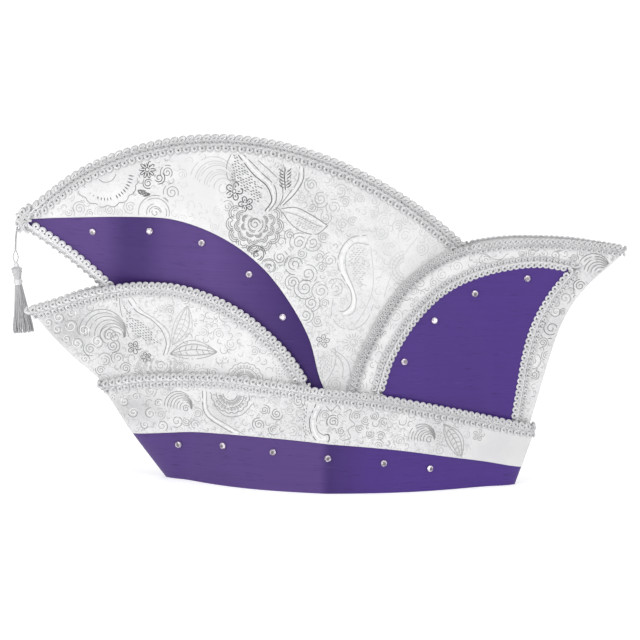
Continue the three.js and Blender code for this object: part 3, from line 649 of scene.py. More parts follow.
def softbox(name, place, width, height, watts):
    data = bpy.data.lights.new(name, "AREA")
    data.shape = "RECTANGLE"
    data.size, data.size_y = width, height
    data.energy = watts
    light = bpy.data.objects.new(name, data)
    light.location = place
    light.rotation_mode = "QUATERNION"
    light.rotation_quaternion = (TARGET - Vector(place)).to_track_quat("-Z", "Y")
    bpy.context.scene.collection.objects.link(light)


def make_studio():
    world = bpy.data.worlds.new("studio")
    world.use_nodes = True
    sky = world.node_tree.nodes["Background"].inputs
    sky["Color"].default_value = (1, 1, 1, 1)
    sky["Strength"].default_value = WORLD_STRENGTH
    bpy.context.scene.world = world
    bpy.context.scene.view_settings.view_transform = "Standard"
    for name, row in SOFTBOXES.items():
        softbox(name, *row)


def make_floor():
    """A wide floor of pale paper, evenly lit far from the cap."""
    mesh = bpy.data.meshes.new("floor")
    corners = [(x * FLOOR_HALF, y * FLOOR_HALF, 0) for x, y in ((-1, -1), (1, -1), (1, 1), (-1, 1))]
    mesh.from_pydata(corners, [], [(0, 1, 2, 3)])
    floor = bpy.data.objects.new("floor", mesh)
    floor.location.z = -FLOOR_DROP
    bpy.context.scene.collection.objects.link(floor)
    paper = Nodes("floor_paper", Roughness=0.9, Emission_Color=(1, 1, 1, 1))
    away = paper.add("VectorMath", {0: paper.place((1, 1, 1))}, operation="LENGTH").outputs["Value"]
    fade = {"From Min": 0.9, "From Max": 3.0, "To Min": 0.46, "To Max": 0.68}
    glow = paper.add("MapRange", {"Value": away, **fade})
    paper.set(paper.shader.inputs["Emission Strength"], glow.outputs["Result"])
    paper.colour(paper.mix(paper.noise((30, 30, 30)), (0.78, 0.78, 0.78, 1), (0.82, 0.82, 0.82, 1)))
    mesh.materials.append(paper.material)


# Material nodes
class Nodes:
    """A material's node tree, made a node at a time."""

    def __init__(self, name, **settings):
        self.material = bpy.data.materials.new(name)
        self.material.use_nodes = True
        self.tree = self.material.node_tree
        self.shader = self.tree.nodes["Principled BSDF"]
        for socket, value in settings.items():
            self.shader.inputs[socket.replace("_", " ")].default_value = value

    def add(self, kind, inputs, **properties):
        node = self.tree.nodes.new("ShaderNode" + kind)
        for key, value in properties.items():
            setattr(node, key, value)
        for socket, value in inputs.items():
            self.set(node.inputs[socket], value)
        return node

    def set(self, socket, value):
        if isinstance(value, bpy.types.NodeSocket):
            self.tree.links.new(value, socket)
        else:
            socket.default_value = value

    def place(self, scale):
        """The object's own coordinates, stretched by scale, per metre."""
        coordinates = self.add("TexCoord", {})
        sockets = {"Vector": coordinates.outputs["Object"], "Scale": scale}
        return self.add("Mapping", sockets).outputs["Vector"]

    def noise(self, scale, detail=2.0, distortion=0.0):
        sockets = {"Vector": self.place(scale), "Scale": 1.0, "Detail": detail, "Distortion": distortion}
        return self.add("TexNoise", sockets).outputs["Fac"]

    def ramp(self, value, low, high):
        """value taken from 0 at low to 1 at high, smoothly."""
        sockets = {"Value": value, "From Min": low, "From Max": high}
        return self.add("MapRange", sockets, interpolation_type="SMOOTHSTEP").outputs["Result"]

    def mix(self, factor, a, b):
        return self.add("Mix", {"Factor": factor, 6: a, 7: b}, data_type="RGBA").outputs[2]

    def math(self, operation, a, b):
        return self.add("Math", {0: a, 1: b}, operation=operation).outputs["Value"]

    def tint(self, base, colour, factor, share):
        """base, with a share of colour where factor is 1."""
        return self.mix(self.math("MULTIPLY", factor, share), base, colour)

    def marked(self, name):
        """Values that a piece holds at its points."""
        return self.add("Attribute", {}, attribute_name=name).outputs["Fac"]

    def bump(self, height, strength, distance):
        node = self.add("Bump", {"Height": height, "Strength": strength, "Distance": distance})
        self.set(self.shader.inputs["Normal"], node.outputs["Normal"])

    def colour(self, value):
        self.set(self.shader.inputs["Base Color"], value)


def dupion():
    """Purple silk with horizontal slubs and a fine ribbed weave, with painted shade and sheen along the cap.
    """
    shine = {"Specular_IOR_Level": 0.4, "Specular_Tint": (0.8, 0.7, 1.0, 1)}
    made = Nodes("purple_dupion", Roughness=0.45, Sheen_Weight=0.06, **shine)
    painted_shade, rich = made.marked("painted_shade"), made.marked("rich")
    bands = made.noise((12, 12, 900), detail=3)
    slubs = made.ramp(made.noise((80, 80, 1500), detail=0), 0.72, 0.78)
    knots = made.ramp(made.noise((60, 60, 700), detail=1), 0.7, 0.78)
    ribs = made.noise((300, 300, 2600), detail=2)
    # Painted shade and sheen: deep purple to pale greyish purple by the painted shade value, then towards a
    # richer purple
    cloth = made.mix(painted_shade, (0.037, 0.015, 0.118, 1), (0.095, 0.051, 0.208, 1))
    cloth = made.mix(rich, cloth, (0.064, 0.026, 0.216, 1))
    cloth = made.tint(cloth, (0.025, 0.010, 0.085, 1), made.ramp(bands, 0.3, 0.7), 0.12)
    cloth = made.tint(cloth, (0.020, 0.008, 0.07, 1), slubs, 0.4)
    made.colour(made.tint(cloth, (0.11, 0.065, 0.25, 1), knots, 0.15))
    made.bump(made.math("ADD", ribs, slubs), 0.25, 0.0003)
    return made.material


def brocade_ground():
    """White satin ground, its fine warp, a pale woven scribble between the motifs, and a soft grey ground
    that is partly painted shade.
    """
    made = Nodes("white_brocade", Roughness=0.42, Sheen_Weight=0.2, Sheen_Roughness=0.4)
    warp = made.noise((2400, 2400, 500), detail=1)
    patch = made.ramp(made.noise((55, 55, 55), detail=2), 0.42, 0.62)
    swirls = made.noise((300, 300, 300), detail=1, distortion=0.8)
    turns = made.math("ABSOLUTE", made.math("SUBTRACT", swirls, 0.5), 0.0)
    scribble = made.math("MULTIPLY", made.ramp(turns, 0.04, 0.014), made.marked("woven"))
    cloth = made.mix(patch, (0.74, 0.74, 0.75, 1), (0.79, 0.79, 0.79, 1))
    # Grey ground, partly the brocade's own grey and partly painted shade where the cloth turns from the light
    cloth = made.mix(made.marked("grey_and_shade"), cloth, (0.48, 0.48, 0.49, 1))
    cloth = made.tint(cloth, (0.34, 0.34, 0.35, 1), scribble, 0.5)
    made.colour(made.tint(cloth, (0.55, 0.55, 0.56, 1), made.ramp(warp, 0.55, 0.75), 0.2))
    made.bump(warp, 0.2, 0.0002)
    return made.material


def yarns():
    """Silver-grey motif yarn, as dark as its tone, the dark partly a painted reflection of the metal thread.
    """
    made = Nodes("brocade_yarn", Roughness=0.4, Metallic=0.2)
    sockets = {"Value": made.marked("tone"), "From Min": WHITE, "From Max": 1.0}
    share = made.add("MapRange", sockets).outputs["Result"]
    glimmer = made.noise((700, 700, 700), detail=1)
    white = made.mix(glimmer, (0.79, 0.79, 0.79, 1), (0.86, 0.86, 0.86, 1))
    # White yarn to near black by tone: the pattern's lines, their dark partly painted reflection
    made.colour(made.mix(share, white, (0.08, 0.08, 0.085, 1)))
    made.bump(glimmer, 0.2, 0.0002)
    return made.material


def gimp(name, light, dark):
    """Wrapped silver cord: fine slanting turns of thread along it, with painted shade in the grooves between
    turns.
    """
    made = Nodes(name, Roughness=0.42, Metallic=0.25, Sheen_Weight=0.15)
    wrap = made.add("UVMap", {}, uv_map="wrap")
    place = made.add("SeparateXYZ", {"Vector": wrap.outputs["UV"]})
    along = made.math("MULTIPLY", place.outputs["X"], THREADS_ALONG)
    around = made.math("MULTIPLY", place.outputs["Y"], FULL_TURN)
    thread = made.math("SINE", made.math("ADD", along, around), 0.0)
    worn = made.noise((160, 160, 160), detail=2)
    # Painted shade in the grooves between the turns of thread
    tone = made.mix(made.ramp(thread, -1.0, 1.0), dark, light)
    made.colour(made.tint(tone, dark, made.ramp(worn, 0.45, 0.7), 0.4))
    made.bump(thread, 0.3, 0.0002)
    return made.material


def tape():
    """The grey woven tape behind the loops."""
    made = Nodes("braid_tape", Roughness=0.6, Metallic=0.1)
    weave = made.noise((1400, 1400, 1400), detail=1)
    made.colour(made.mix(weave, (0.44, 0.44, 0.45, 1), (0.72, 0.72, 0.73, 1)))
    made.bump(weave, 0.4, 0.0003)
    return made.material


def silk():
    """Tassel silk: pale grey, streaked along its strands."""
    made = Nodes("tassel_silk", Roughness=0.4, Sheen_Weight=0.3)
    streak = made.noise((2600, 2600, 90), detail=2)
    made.colour(made.mix(streak, (0.24, 0.24, 0.25, 1), (0.66, 0.66, 0.68, 1)))
    made.bump(streak, 0.3, 0.0002)
    return made.material


def crystal():
    """Foil-backed cut crystal, coloured facet by facet with painted glints and dark reflections."""
    made = Nodes("cut_crystal", Roughness=0.08, Metallic=0.3, Coat_Weight=0.4, Coat_Roughness=0.02)
    painted_glint = made.add("Attribute", {}, attribute_name="painted_glint").outputs["Color"]
    flaw = made.noise((900, 900, 900), detail=1)
    made.colour(made.tint(painted_glint, (0.86, 0.8, 0.86, 1), flaw, 0.25))
    return made.material


# Meshes
def piece(name, points, faces, materials, nodes=(), chosen=None, smooth=True, uv=None):
    """A shown piece, from millimetre points, which rides on the cap and stands for the named nodes."""
    mesh = bpy.data.meshes.new(name)
    mesh.from_pydata((np.asarray(points) * MM).tolist(), [], [list(map(int, face)) for face in faces])
    for each in materials:
        mesh.materials.append(each)
    if chosen is not None:
        mesh.polygons.foreach_set("material_index", np.asarray(chosen, np.int32))
    if uv is not None:
        layer = mesh.uv_layers.new(name="wrap")
        layer.data.foreach_set("uv", np.asarray(uv, np.float32).ravel())
    if smooth:
        mesh.shade_smooth()
        mesh.set_sharp_from_angle(angle=math.radians(SHARP_ANGLE))
    made = bpy.data.objects.new(name, mesh)
    bpy.context.scene.collection.objects.link(made)
    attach(made, "root")
    if nodes:
        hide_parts(*nodes)
    return made


def grid_faces(rows, columns):
    """Quads of a grid of points, row by row."""
    a = (np.arange(rows - 1)[:, None] * columns + np.arange(columns - 1)[None, :]).ravel()
    return np.stack((a, a + 1, a + 1 + columns, a + columns), axis=-1)


def ring_faces(rings, around):
    """Quads between rings of points, and a cap on each end, facing inward."""
    i, k = np.divmod(np.arange((rings - 1) * around), around)
    here, after = i * around + k, i * around + (k + 1) % around
    quads = np.stack((here, here + around, after + around, after), axis=-1)
    return quads, [list(range(around)), list(range((rings - 1) * around, rings * around))[::-1]]


def rim_of(rows, columns):
    """The grid's border points, in order round it."""
    index = np.arange(rows * columns).reshape(rows, columns)
    return np.concatenate((index[0, :-1], index[:-1, -1], index[-1, :0:-1], index[:0:-1, 0]))


def crowded(steps):
    """Shares from 0 to 1 that lie closer together at both ends."""
    t = np.arange(steps + 1) / steps
    return t - SEAM_CROWDING * np.sin(2 * np.pi * t) / (2 * np.pi)


def panel_height(u, low, high):
    (low_x, low_z), (high_x, high_z) = low(u), high(u)
    return np.hypot(high_x - low_x, high_z - low_z)


def panel_place(u, v, low, high, start=None, end=None):
    """Side-view places of a panel's shares u, front to rear, and v, from its low to its high path."""
    def between(share):
        (low_x, low_z), (high_x, high_z) = low(share), high(share)
        return low_x + (high_x - low_x) * v, low_z + (high_z - low_z) * v

    x, z = between(u)
    if start:
        first_x, first_z = between(0.0)
        x = x + (1 - u) * (start(first_z) - first_x)
    if end:
        last_x, last_z = between(1.0)
        x = x + u * (end(last_z) - last_x)
    return x, z


def panel(side, low, high, steps, rows, outer, inner, start=None, end=None, hem=False):
    """A cloth panel between two side-view paths: points and faces of its closed solid."""
    u = crowded(steps)[None, :]
    v = (0.5 - 0.5 * np.cos(np.pi * np.arange(rows + 1) / rows))[:, None]
    x, z = panel_place(u, v, low, high, start, end)
    y_outer, y_inner = outer(x, z), inner(x, z)
    if hem:
        from_edge = np.clip(v * panel_height(u, low, high) / HEM, 0, 1)
        rounded = np.sqrt(1 - (1 - from_edge) ** 2)
        y_outer = y_inner + (y_outer - y_inner) * (HEM_EDGE + (1 - HEM_EDGE) * rounded)
    faces_of = [np.stack((x, side * y, z), axis=-1).reshape(-1, 3) for y in (y_outer, y_inner)]
    count = x.size
    quads = grid_faces(rows + 1, steps + 1)
    rim = rim_of(rows + 1, steps + 1)
    ahead = np.roll(rim, -1)
    wall = np.stack((rim, rim + count, ahead + count, ahead), axis=-1)
    faces = np.concatenate((quads, quads[:, ::-1] + count, wall))
    return np.concatenate(faces_of), faces if side < 0 else faces[:, ::-1]


def tube(points, upward, radius, sides):
    """A cord along points: ring points, faces and, for each quad, the cord's own u and v."""
    along = unit(np.gradient(points, axis=0))
    sideways = unit(np.cross(along, upward))
    lift = np.cross(sideways, along)
    angle = 2 * np.pi * np.arange(sides) / sides
    ring = sideways[:, None, :] * np.cos(angle)[:, None] + lift[:, None, :] * np.sin(angle)[:, None]
    rings = points[:, None, :] + np.broadcast_to(radius, len(points))[:, None, None] * ring
    quads, caps = ring_faces(len(points), sides)
    faces = [*quads[:, [0, 3, 2, 1]].tolist(), *[cap[::-1] for cap in caps]]
    i, k = np.divmod(np.arange(len(quads)), sides)
    length = summed(np.linalg.norm(np.diff(points, axis=0), axis=1))
    u = np.stack((length[i], length[i], length[i + 1], length[i + 1]), axis=-1)
    v = np.stack((k, k + 1, k + 1, k), axis=-1) / sides
    return rings.reshape(-1, 3), faces, np.stack((u, v), axis=-1).tolist()


class Joined:
    """Several closed shapes in one mesh."""

    def __init__(self):
        self.points, self.faces, self.uv, self.chosen, self.count = [], [], [], [], 0

    def add(self, points, faces, chosen=0, uv=(), flip=False):
        """A shape in its chosen material; faces past the end of uv have none of their own."""
        for i, face in enumerate(faces):
            corners = [corner + self.count for corner in face]
            self.faces.append(corners[::-1] if flip else corners)
            self.uv.extend(uv[i] if i < len(uv) else [(0.0, 0.0)] * len(corners))
            self.chosen.append(chosen)
        self.points.append(points)
        self.count += len(points)

    def add_tube(self, points, upward, radius, sides, chosen=0):
        rings, faces, uv = tube(points, upward, radius, sides)
        self.add(rings, faces, chosen, uv)

    def add_rings(self, rings, chosen, flip):
        """A shape through rings of points, in an array of rings."""
        quads, caps = ring_faces(*rings.shape[:2])
        self.add(rings.reshape(-1, 3), [*quads.tolist(), *caps], chosen, flip=flip)

    def make(self, name, materials, nodes):
        points = np.concatenate(self.points)
        return piece(name, points, self.faces, materials, nodes, self.chosen, uv=self.uv)


# Cord and tassel
def twisted_cord(silk_cloth):
    """Two strands twisted together along the cord's route, parted at the eye that holds the tassel."""
    route = np.array(CORD_ROUTE) / MM
    reach = summed(np.linalg.norm(np.diff(route, axis=0), axis=1))
    s = np.linspace(0, reach[-1], CORD_SAMPLES)
    middle = np.stack([curve_through(zip(reach, route[:, axis]))(s) for axis in range(3)], axis=-1)
    across, away, upward = np.array(((1.0, 0, 0), (0, 1.0, 0), (0.3, 1.0, 0.2)))
    strand = CORD_DIAMETER / MM / 4
    twisted = reach[-1] - CORD_EYE - EYE_END
    eye = np.clip((s - twisted) / CORD_EYE, 0, 1)
    parted = (strand + EYE_HALF * np.sin(np.pi * eye) ** EYE_ROUNDNESS)[:, None]
    made = Joined()
    for turn in (0, np.pi):
        angle = (2 * np.pi * (np.minimum(s, twisted) - twisted) / CORD_PITCH + turn)[:, None]
        points = middle + parted * (np.cos(angle) * across + np.sin(angle) * away)
        made.add_tube(points, upward, strand, CORD_SIDES)
    cord = made.make("tassel_cord_twist", [silk_cloth], ["tassel_cord"])
    return cord, reach[-1] * MM


def tassel(silk_cloth, gimp_cloth, plait_cloth):
    """Knot, woven knob, wrapped ring and a skirt of strands."""
    down = (TASSEL_FOOT - TASSEL_TOP) / TASSEL_LENGTH
    wide = unit(np.array((1.0, 0, 0)) - down * down[0])
    deep = np.cross(down, wide)
    made = Joined()

    def lathe(profile, chosen, weave, strands, slant):
        """A turned shape, its surface woven of crossing strands."""
        reach = np.linspace(profile[0][0], profile[-1][0], LATHE_ROWS)[:, None]
        angle = 2 * np.pi * np.arange(LATHE_SIDES) / LATHE_SIDES
        crossing = np.cos(strands * angle + slant * reach) * np.cos(strands * angle - slant * reach)
        radius = np.maximum(curve_through(profile)(reach), LATHE_LEAST) * (1 + weave * crossing)
        flat = np.cos(angle)[:, None] * wide + np.sin(angle)[:, None] * deep
        made.add_rings(TASSEL_TOP + reach[..., None] * down + radius[..., None] * flat, chosen, flip=True)

    wound, woven = 1, 2
    lathe(KNOT, wound, weave=0.12, strands=3, slant=2.2)
    lathe(KNOB, woven, weave=0.12, strands=6, slant=1.3)
    lathe(WRAP, wound, weave=0.04, strands=1, slant=14.0)
    skirt_radius = curve_through(SKIRT)
    along = np.linspace(0, 1, STRAND_SAMPLES)
    for _ in range(STRANDS):
        angle = rng.uniform(0, 2 * np.pi)
        share = math.sqrt(rng.uniform(*STRAND_SHARES))
        end = TASSEL_LENGTH - STRAND_UNEVEN * rng.uniform() ** 2
        reach = SKIRT_TOP + (end - SKIRT_TOP) * along
        radius = skirt_radius(np.minimum(reach, TASSEL_LENGTH)) * share
        sway = rng.uniform(-STRAND_SWAY, STRAND_SWAY) * along**2
        sway = angle + (sway + STRAND_WAVE * np.sin(STRAND_WAVES * along + rng.uniform(*STRAND_PHASES)))
        splay = (1 + SKIRT_SPLAY * along**SPLAY_POWER)[:, None]
        spread = np.cos(sway)[:, None] * wide * splay + np.sin(sway)[:, None] * deep * SKIRT_DEPTH
        points = TASSEL_TOP + reach[:, None] * down + radius[:, None] * spread
        thinned = STRAND_RADIUS * (1 - STRAND_THINNING * along)
        made.add_tube(points, deep + 0.3 * wide, thinned, STRAND_SIDES)
    return made.make("tassel_silk_skirt", [silk_cloth, gimp_cloth, plait_cloth], ["tassel"])


# Cloth panels
def along_band(first, last, depth):
    """A path at a depth under the band's top, between two places along it."""
    def path(t):
        x = first + (last - first) * np.asarray(t)
        return x, band_top(x) - depth

    return path


def facing_ridge(t):
    return ridge_path(FACING_RIDGE_FROM + FACING_RIDGE_SPAN * np.asarray(t))


PANELS = [
    {
        "node": "crown", "cloth": "satin", "steps": 100, "rows": 40,
        "outer": crown_outer, "inner": crown_inner,
        "low": line((RIM_FRONT, 0), (RIM_REAR, 0)), "high": ridge_path, "start": crown_front,
    },
    {
        "node": "crown_facing", "cloth": "brocade", "steps": 100, "rows": 30, "hem": True,
        "outer": crown_facing_outer, "inner": crown_facing_inner,
        "low": path_through(CROWN_FACING_EDGE), "high": facing_ridge,
    },
    {
        "node": "front_flap", "cloth": "brocade", "steps": 80, "rows": 28,
        "outer": flap_outer, "inner": flap_inner,
        "low": along_band(*FRONT_FLAP_FOOT, TUCK), "high": front_flap_top, "start": front_seam,
    },
    {
        "node": "rear_flap", "cloth": "brocade", "steps": 80, "rows": 32,
        "outer": flap_outer, "inner": flap_inner,
        "low": along_band(*REAR_FLAP_FOOT, TUCK), "high": rear_flap_top, "end": rear_seam,
    },
    {
        "node": "rear_inset", "cloth": "satin", "steps": 54, "rows": 28,
        "outer": inset_outer, "inner": inset_inner,
        "low": along_band(*INSET_FOOT, INSET_TUCK), "high": path_through(REAR_INSET_TOP), "end": inset_edge,
    },
    {
        "node": "band", "cloth": "satin", "steps": 110, "rows": 24,
        "outer": band_outer, "inner": band_inner, "low": line((band_front(0), 0), (band_rear(0), 0)),
        "high": band_top_path, "start": band_front, "end": band_rear,
    },
    {
        "node": "band_facing", "cloth": "brocade", "steps": 110, "rows": 20, "hem": True,
        "outer": band_facing_outer, "inner": band_facing_inner,
        "low": path_through(BAND_FACING_EDGE), "high": band_top_path, "start": band_front, "end": band_rear,
    },
]


def mark(made, name, values):
    """Values at a piece's points, for its material."""
    held = made.data.attributes.new(name, "FLOAT", "POINT")
    held.data.foreach_set("value", np.asarray(values, np.float32))


def grey_and_shaded_ground(node, x, z):
    """How grey the ground is at places of a brocade: partly its own grey, partly painted shade."""
    depths = [
        depth * np.exp(-((x - at_x) / wide) ** 2 - ((z - at_z) / high) ** 2)
        for at_x, at_z, wide, high, depth in GREYS_AND_SHADE_CHARTED[node]
    ]
    return np.max(depths, axis=0)


def make_panels(cloths):
    for half, side in SIDES:
        for row in PANELS:
            shape = {key: value for key, value in row.items() if key not in ("node", "cloth")}
            points, faces = panel(side, **shape)
            node = f"{row['node']}_{half}"
            made = piece(f"{node}_cloth", points, faces, [cloths[row["cloth"]]], [node])
            # Silk panels carry their painted shade and sheen along x
            if row["node"] in SILK_PAINTED_SHADE:
                along, *looks = zip(*SILK_PAINTED_SHADE[row["node"]])
                for name, look in zip(("painted_shade", "rich"), looks):
                    mark(made, name, np.interp(points[:, 0], along, look))
            else:
                # Brocade panels carry their grey ground, partly painted shade, and their woven scribble
                mark(made, "grey_and_shade", grey_and_shaded_ground(row["node"], points[:, 0], points[:, 2]))
                mark(made, "woven", np.interp(points[:, 0], *zip(*WOVEN_ALONG[row["node"]])))


# Braids
class Edge:
    """A side-view path on a surface, followed by its length in space, with straight run-outs at its ends."""

    def __init__(self, path, surface, into, first=0.0, last=1.0, lean=LEAN_OVER_EDGE):
        def run_out(end, inner):
            step = (end - inner) / np.hypot(*(end - inner))
            return end[:, None] + step[:, None] * np.arange(1.0, RUN_OUT + 1)

        flat = np.stack(path(np.linspace(first, last, EDGE_SAMPLES)))
        before, beyond = run_out(flat[:, 0], flat[:, 1]), run_out(flat[:, -1], flat[:, -2])
        x, z = np.concatenate((before[:, ::-1], flat, beyond), axis=1)
        reach = summed(np.sqrt(np.diff(x) ** 2 + np.diff(z) ** 2 + np.diff(surface(x, z)) ** 2))
        self.reach = reach - reach[RUN_OUT]
        self.length = self.reach[-1 - RUN_OUT]
        self.surface, self.lean = surface, lean
        along_x, along_z = np.gradient(x), np.gradient(z)
        size = np.hypot(along_x, along_z)
        self.rows = x, z, -along_z / size * into, along_x / size * into

    def follow(self, s):
        """x, z and the way into the panel, at lengths along the edge."""
        return [np.interp(s, self.reach, row) for row in self.rows]

    def at(self, s, depth, lift):
        """Points at lengths along the edge, depths into the panel and lifts off its face, with normals."""
        x, z, in_x, in_z = self.follow(s)
        onto = np.maximum(depth, 0)
        on_x, on_z = x + in_x * onto, z + in_z * onto
        normal = surface_normal(self.surface, on_x, on_z)
        beyond = np.minimum(depth, 0)
        face = np.stack((on_x + in_x * beyond, self.surface(on_x, on_z), on_z + in_z * beyond), axis=-1)
        lift = lift + self.lean * beyond
        return face + normal * lift[:, None], normal


# Each braid has its pitch of loops, its tape's depths at the outer edge, over it and at the inner edge,
# and two rows of loops: depth, way that they point, share of size, added lift, cloth and slant
GIMP, TAPE, PLAIT = 0, 1, 2
EDGE_BRAID = {
    "pitch": 5.2, "tape": (-0.9, -0.6, 5.4),
    "rows": ((0.2, 1, 1.08, 0, GIMP, 0), (5.2, -1, 0.95, 0, GIMP, 0.3)),
}
RIDGE_BRAID = {
    "pitch": 6.0, "tape": (-2.4, -2.1, 5.2),
    "rows": ((-1.2, 1, 1.15, 0, GIMP, 0.7), (5.0, -1, 1.05, 0, GIMP, 0)),
}
FRONT_BRAID = {
    "pitch": 5.8, "tape": (-0.9, -0.6, 6.2),
    "rows": ((0.4, 1, 0.85, 0, PLAIT, 0.3), (5.0, -1, 1.15, 0.5, GIMP, 0)),
}
NARROW_BRAID = {
    "pitch": 3.7, "tape": (-0.7, -0.5, 3.8),
    "rows": ((0.0, 1, 0.75, 0, GIMP, 0.5), (3.5, -1, 0.75, 0, GIMP, 0.5)),
}
TOP_BRAID = {
    "pitch": 4.0, "tape": (-0.8, -0.6, 4.0),
    "rows": ((0.0, 1, 0.85, 0, GIMP, 0.4), (3.7, -1, 0.8, 0, GIMP, 0.4)),
}
TIP_BRAID = {
    "pitch": 5.0, "tape": (0.0, 0.2, 3.4),
    "rows": ((0.2, 1, 1.0, 0.8, GIMP, 0), (4.6, -1, 0.8, 0.8, GIMP, 0)),
}
FLAT_BRAID = {
    "pitch": 4.4, "tape": (1.8, 1.8, 6.8),
    "rows": ((1.2, 1, 0.95, 1.3, GIMP, 0), (6.0, -1, 0.85, 0, GIMP, 0.3)),
}


def braid(
    name, side, edge, node, cloths, pitch, tape, rows, start_skew=0.0, end_skew=0.0,
    start_run=0.0, end_run=0.0, folded=None, drift=np.zeros_like, narrowing=0.0,
):
    """Loops of gimp on their tape.

    The skews slant its ends, and the runs take its loops beyond them. folded is the inner face that
    the tape is turned over, drift an added depth, and narrowing the share of the depth that the
    braid loses by its end.
    """
    made = Joined()
    mirror = np.array((1, side, 1))

    def spaced(depth, steps):
        """Lengths along the edge, turns and depths of a row of loops."""
        first = start_skew * depth + LOOPS_SHORT - start_run
        last = edge.length - end_skew * depth - LOOPS_SHORT + end_run
        loops = max(round((last - first) / pitch), 1)
        phase = np.linspace(0, 2 * np.pi * loops, loops * steps + 1)
        even = first + (last - first) * phase / phase[-1]
        return even, phase, depth * (1 - narrowing * even / edge.length) + drift(even)

    def add_cord(along, across, lift, radius, cloth):
        points, normal = edge.at(along, across, lift)
        made.add_tube(points * mirror, normal * mirror, radius, LOOP_SIDES, cloth)

    s = np.linspace(0, edge.length, max(int(edge.length / TAPE_STEP), TAPE_LEAST_STEPS))
    share = np.linspace(0, 1, len(s))
    ring = []
    outer, over, inner = tape
    for depth, lift in ((outer, TAPE_FOOT), (over, TAPE_FACE), (inner, TAPE_FACE), (inner, TAPE_FOOT)):
        skewed = s + (1 - share) * start_skew * depth - share * end_skew * depth
        narrowed = depth * (1 - narrowing * share) + drift(s)
        ring.append(edge.at(skewed, narrowed, np.full(len(s), lift))[0])
    if folded is not None:
        x, z, in_x, in_z = edge.follow(s)
        turned = np.stack((ring[0][:, 0], folded(x, z), ring[0][:, 2]), axis=-1)
        back = turned + np.stack((in_x, np.zeros_like(s), in_z), axis=-1) * TAPE_TURN
        ring = [back, turned, *ring]
    made.add_rings(np.stack(ring, axis=1) * mirror, TAPE, flip=side > 0)
    for row, (depth, way, size, added, cloth, slant) in enumerate(rows):
        even, phase, across = spaced(depth, LOOP_STEPS)
        swing = size * (LOOP_SWING * np.sin(phase) - slant * LOOP_REACH * np.cos(phase))
        across = across - way * size * LOOP_REACH * np.cos(phase)
        lift = LOOP_LIFT + added + LOOP_WEAVE * np.sin(phase) - LOOP_TIP_DROP * (0.5 + 0.5 * np.cos(phase))
        add_cord(even + row * pitch / 2 - swing, across, lift, size * GIMP_RADIUS, cloth)
    even, phase, across = spaced((rows[0][0] + rows[1][0]) / 2, PLAIT_STEPS)
    for way in (-1, 1):
        lift = PLAIT_LIFT + way * PLAIT_WEAVE * np.cos(phase)
        add_cord(even, across + way * PLAIT_SWING * np.sin(phase), lift, PLAIT_RADIUS, PLAIT)
    return made.make(name, [cloths["gimp"], cloths["tape"], cloths["plait"]], [node])


def crown_front_path(t):
    z = FRONT_BRAID_TOP + (FRONT_BRAID_FOOT - FRONT_BRAID_TOP) * np.asarray(t)
    return crown_front(z), z


def blunt_tip(s):
    return -TIP_PROUD * np.clip(1 - s / TIP_REACH, 0, 1) ** 2


def proud_front(s):
    return np.full(np.shape(s), -FRONT_PROUD)


def low_start(s):
    return START_DROP * np.clip(1 - s / START_REACH, 0, 1)


def make_braids(cloths):
    ridge = Edge(ridge_path, crown_facing_outer, -1, last=0.9, lean=LEAN_OVER_RIDGE)
    front = Edge(crown_front_path, crown_outer, 1)
    tip = Edge(path_through(POINT_TURN), crown_facing_outer, 1)
    front_flap = Edge(front_flap_top, flap_outer, -1, first=0.004, last=0.925)
    rear_front = Edge(rear_flap_top, flap_outer, -1, first=0.07, last=REAR_FLAP_TURN)
    rear_top = Edge(rear_flap_top, flap_outer, -1, first=REAR_FLAP_TURN, last=0.996)
    inset_top = Edge(path_through(REAR_INSET_TOP), flap_outer, 1)
    inset_rear = Edge(path_through(REAR_INSET_EDGE), flap_outer, 1)
    band = Edge(band_top_path, band_facing_outer, -1)
    # Darker gimp copies for braids: a grey that is partly painted shade, and the rear flap's front braid in
    # painted shade
    grey_shaded_gimps, shaded_gimps = ({**cloths, "gimp": cloths[name]} for name in ("grey_shaded_gimp", "shaded_gimp"))
    paired = {**cloths, "plait": cloths["grey_shaded_gimp"]}
    for half, side in SIDES:
        def edging(node, edge, part="", style=EDGE_BRAID, gimps=cloths, **more):
            braid(f"{node}_{half}_gimp{part}", side, edge, f"{node}_{half}", gimps, **style, **more)

        edging(
            "ridge_braid", ridge, style=RIDGE_BRAID, gimps=grey_shaded_gimps, folded=centre, start_run=-3.0,
            drift=blunt_tip,
        )
        edging("ridge_braid", tip, "_tip", TIP_BRAID, grey_shaded_gimps)
        edging(
            "crown_front_braid", front, style=FRONT_BRAID, gimps=paired, folded=centre, start_skew=0.38,
            start_run=8.5, drift=proud_front,
        )
        edging(
            "front_flap_braid", front_flap, gimps=grey_shaded_gimps, folded=flap_inner, start_skew=0.5, end_skew=0.84,
            start_run=3.0, end_run=8.0, drift=low_start,
        )
        edging(
            "rear_flap_braid", rear_front, "_front", NARROW_BRAID, shaded_gimps, folded=flap_inner, start_skew=0.24,
            start_run=9.0,
        )
        edging("rear_flap_braid", rear_top, "_top", TOP_BRAID, grey_shaded_gimps, folded=flap_inner, end_skew=0.5)
        edging("band_braid", band, gimps=grey_shaded_gimps, folded=band_inner, start_skew=0.42, end_skew=0.12)
        edging(
            "rear_inset_braid", inset_top, "_top", FLAT_BRAID, grey_shaded_gimps, end_skew=-0.9, start_run=6.0,
            narrowing=0.35,
        )
        edging("rear_inset_braid", inset_rear, "_edge", FLAT_BRAID, grey_shaded_gimps, start_skew=-0.9, end_run=5.0)


# Brocade motifs: yarns raised on the cloth, drawn in the side view
def polar(radius, angle, at=(0.0, 0.0)):
    """Points at radii and angles, in radians, about a place."""
    return np.stack((at[0] + radius * np.cos(angle), at[1] + radius * np.sin(angle)), axis=-1)


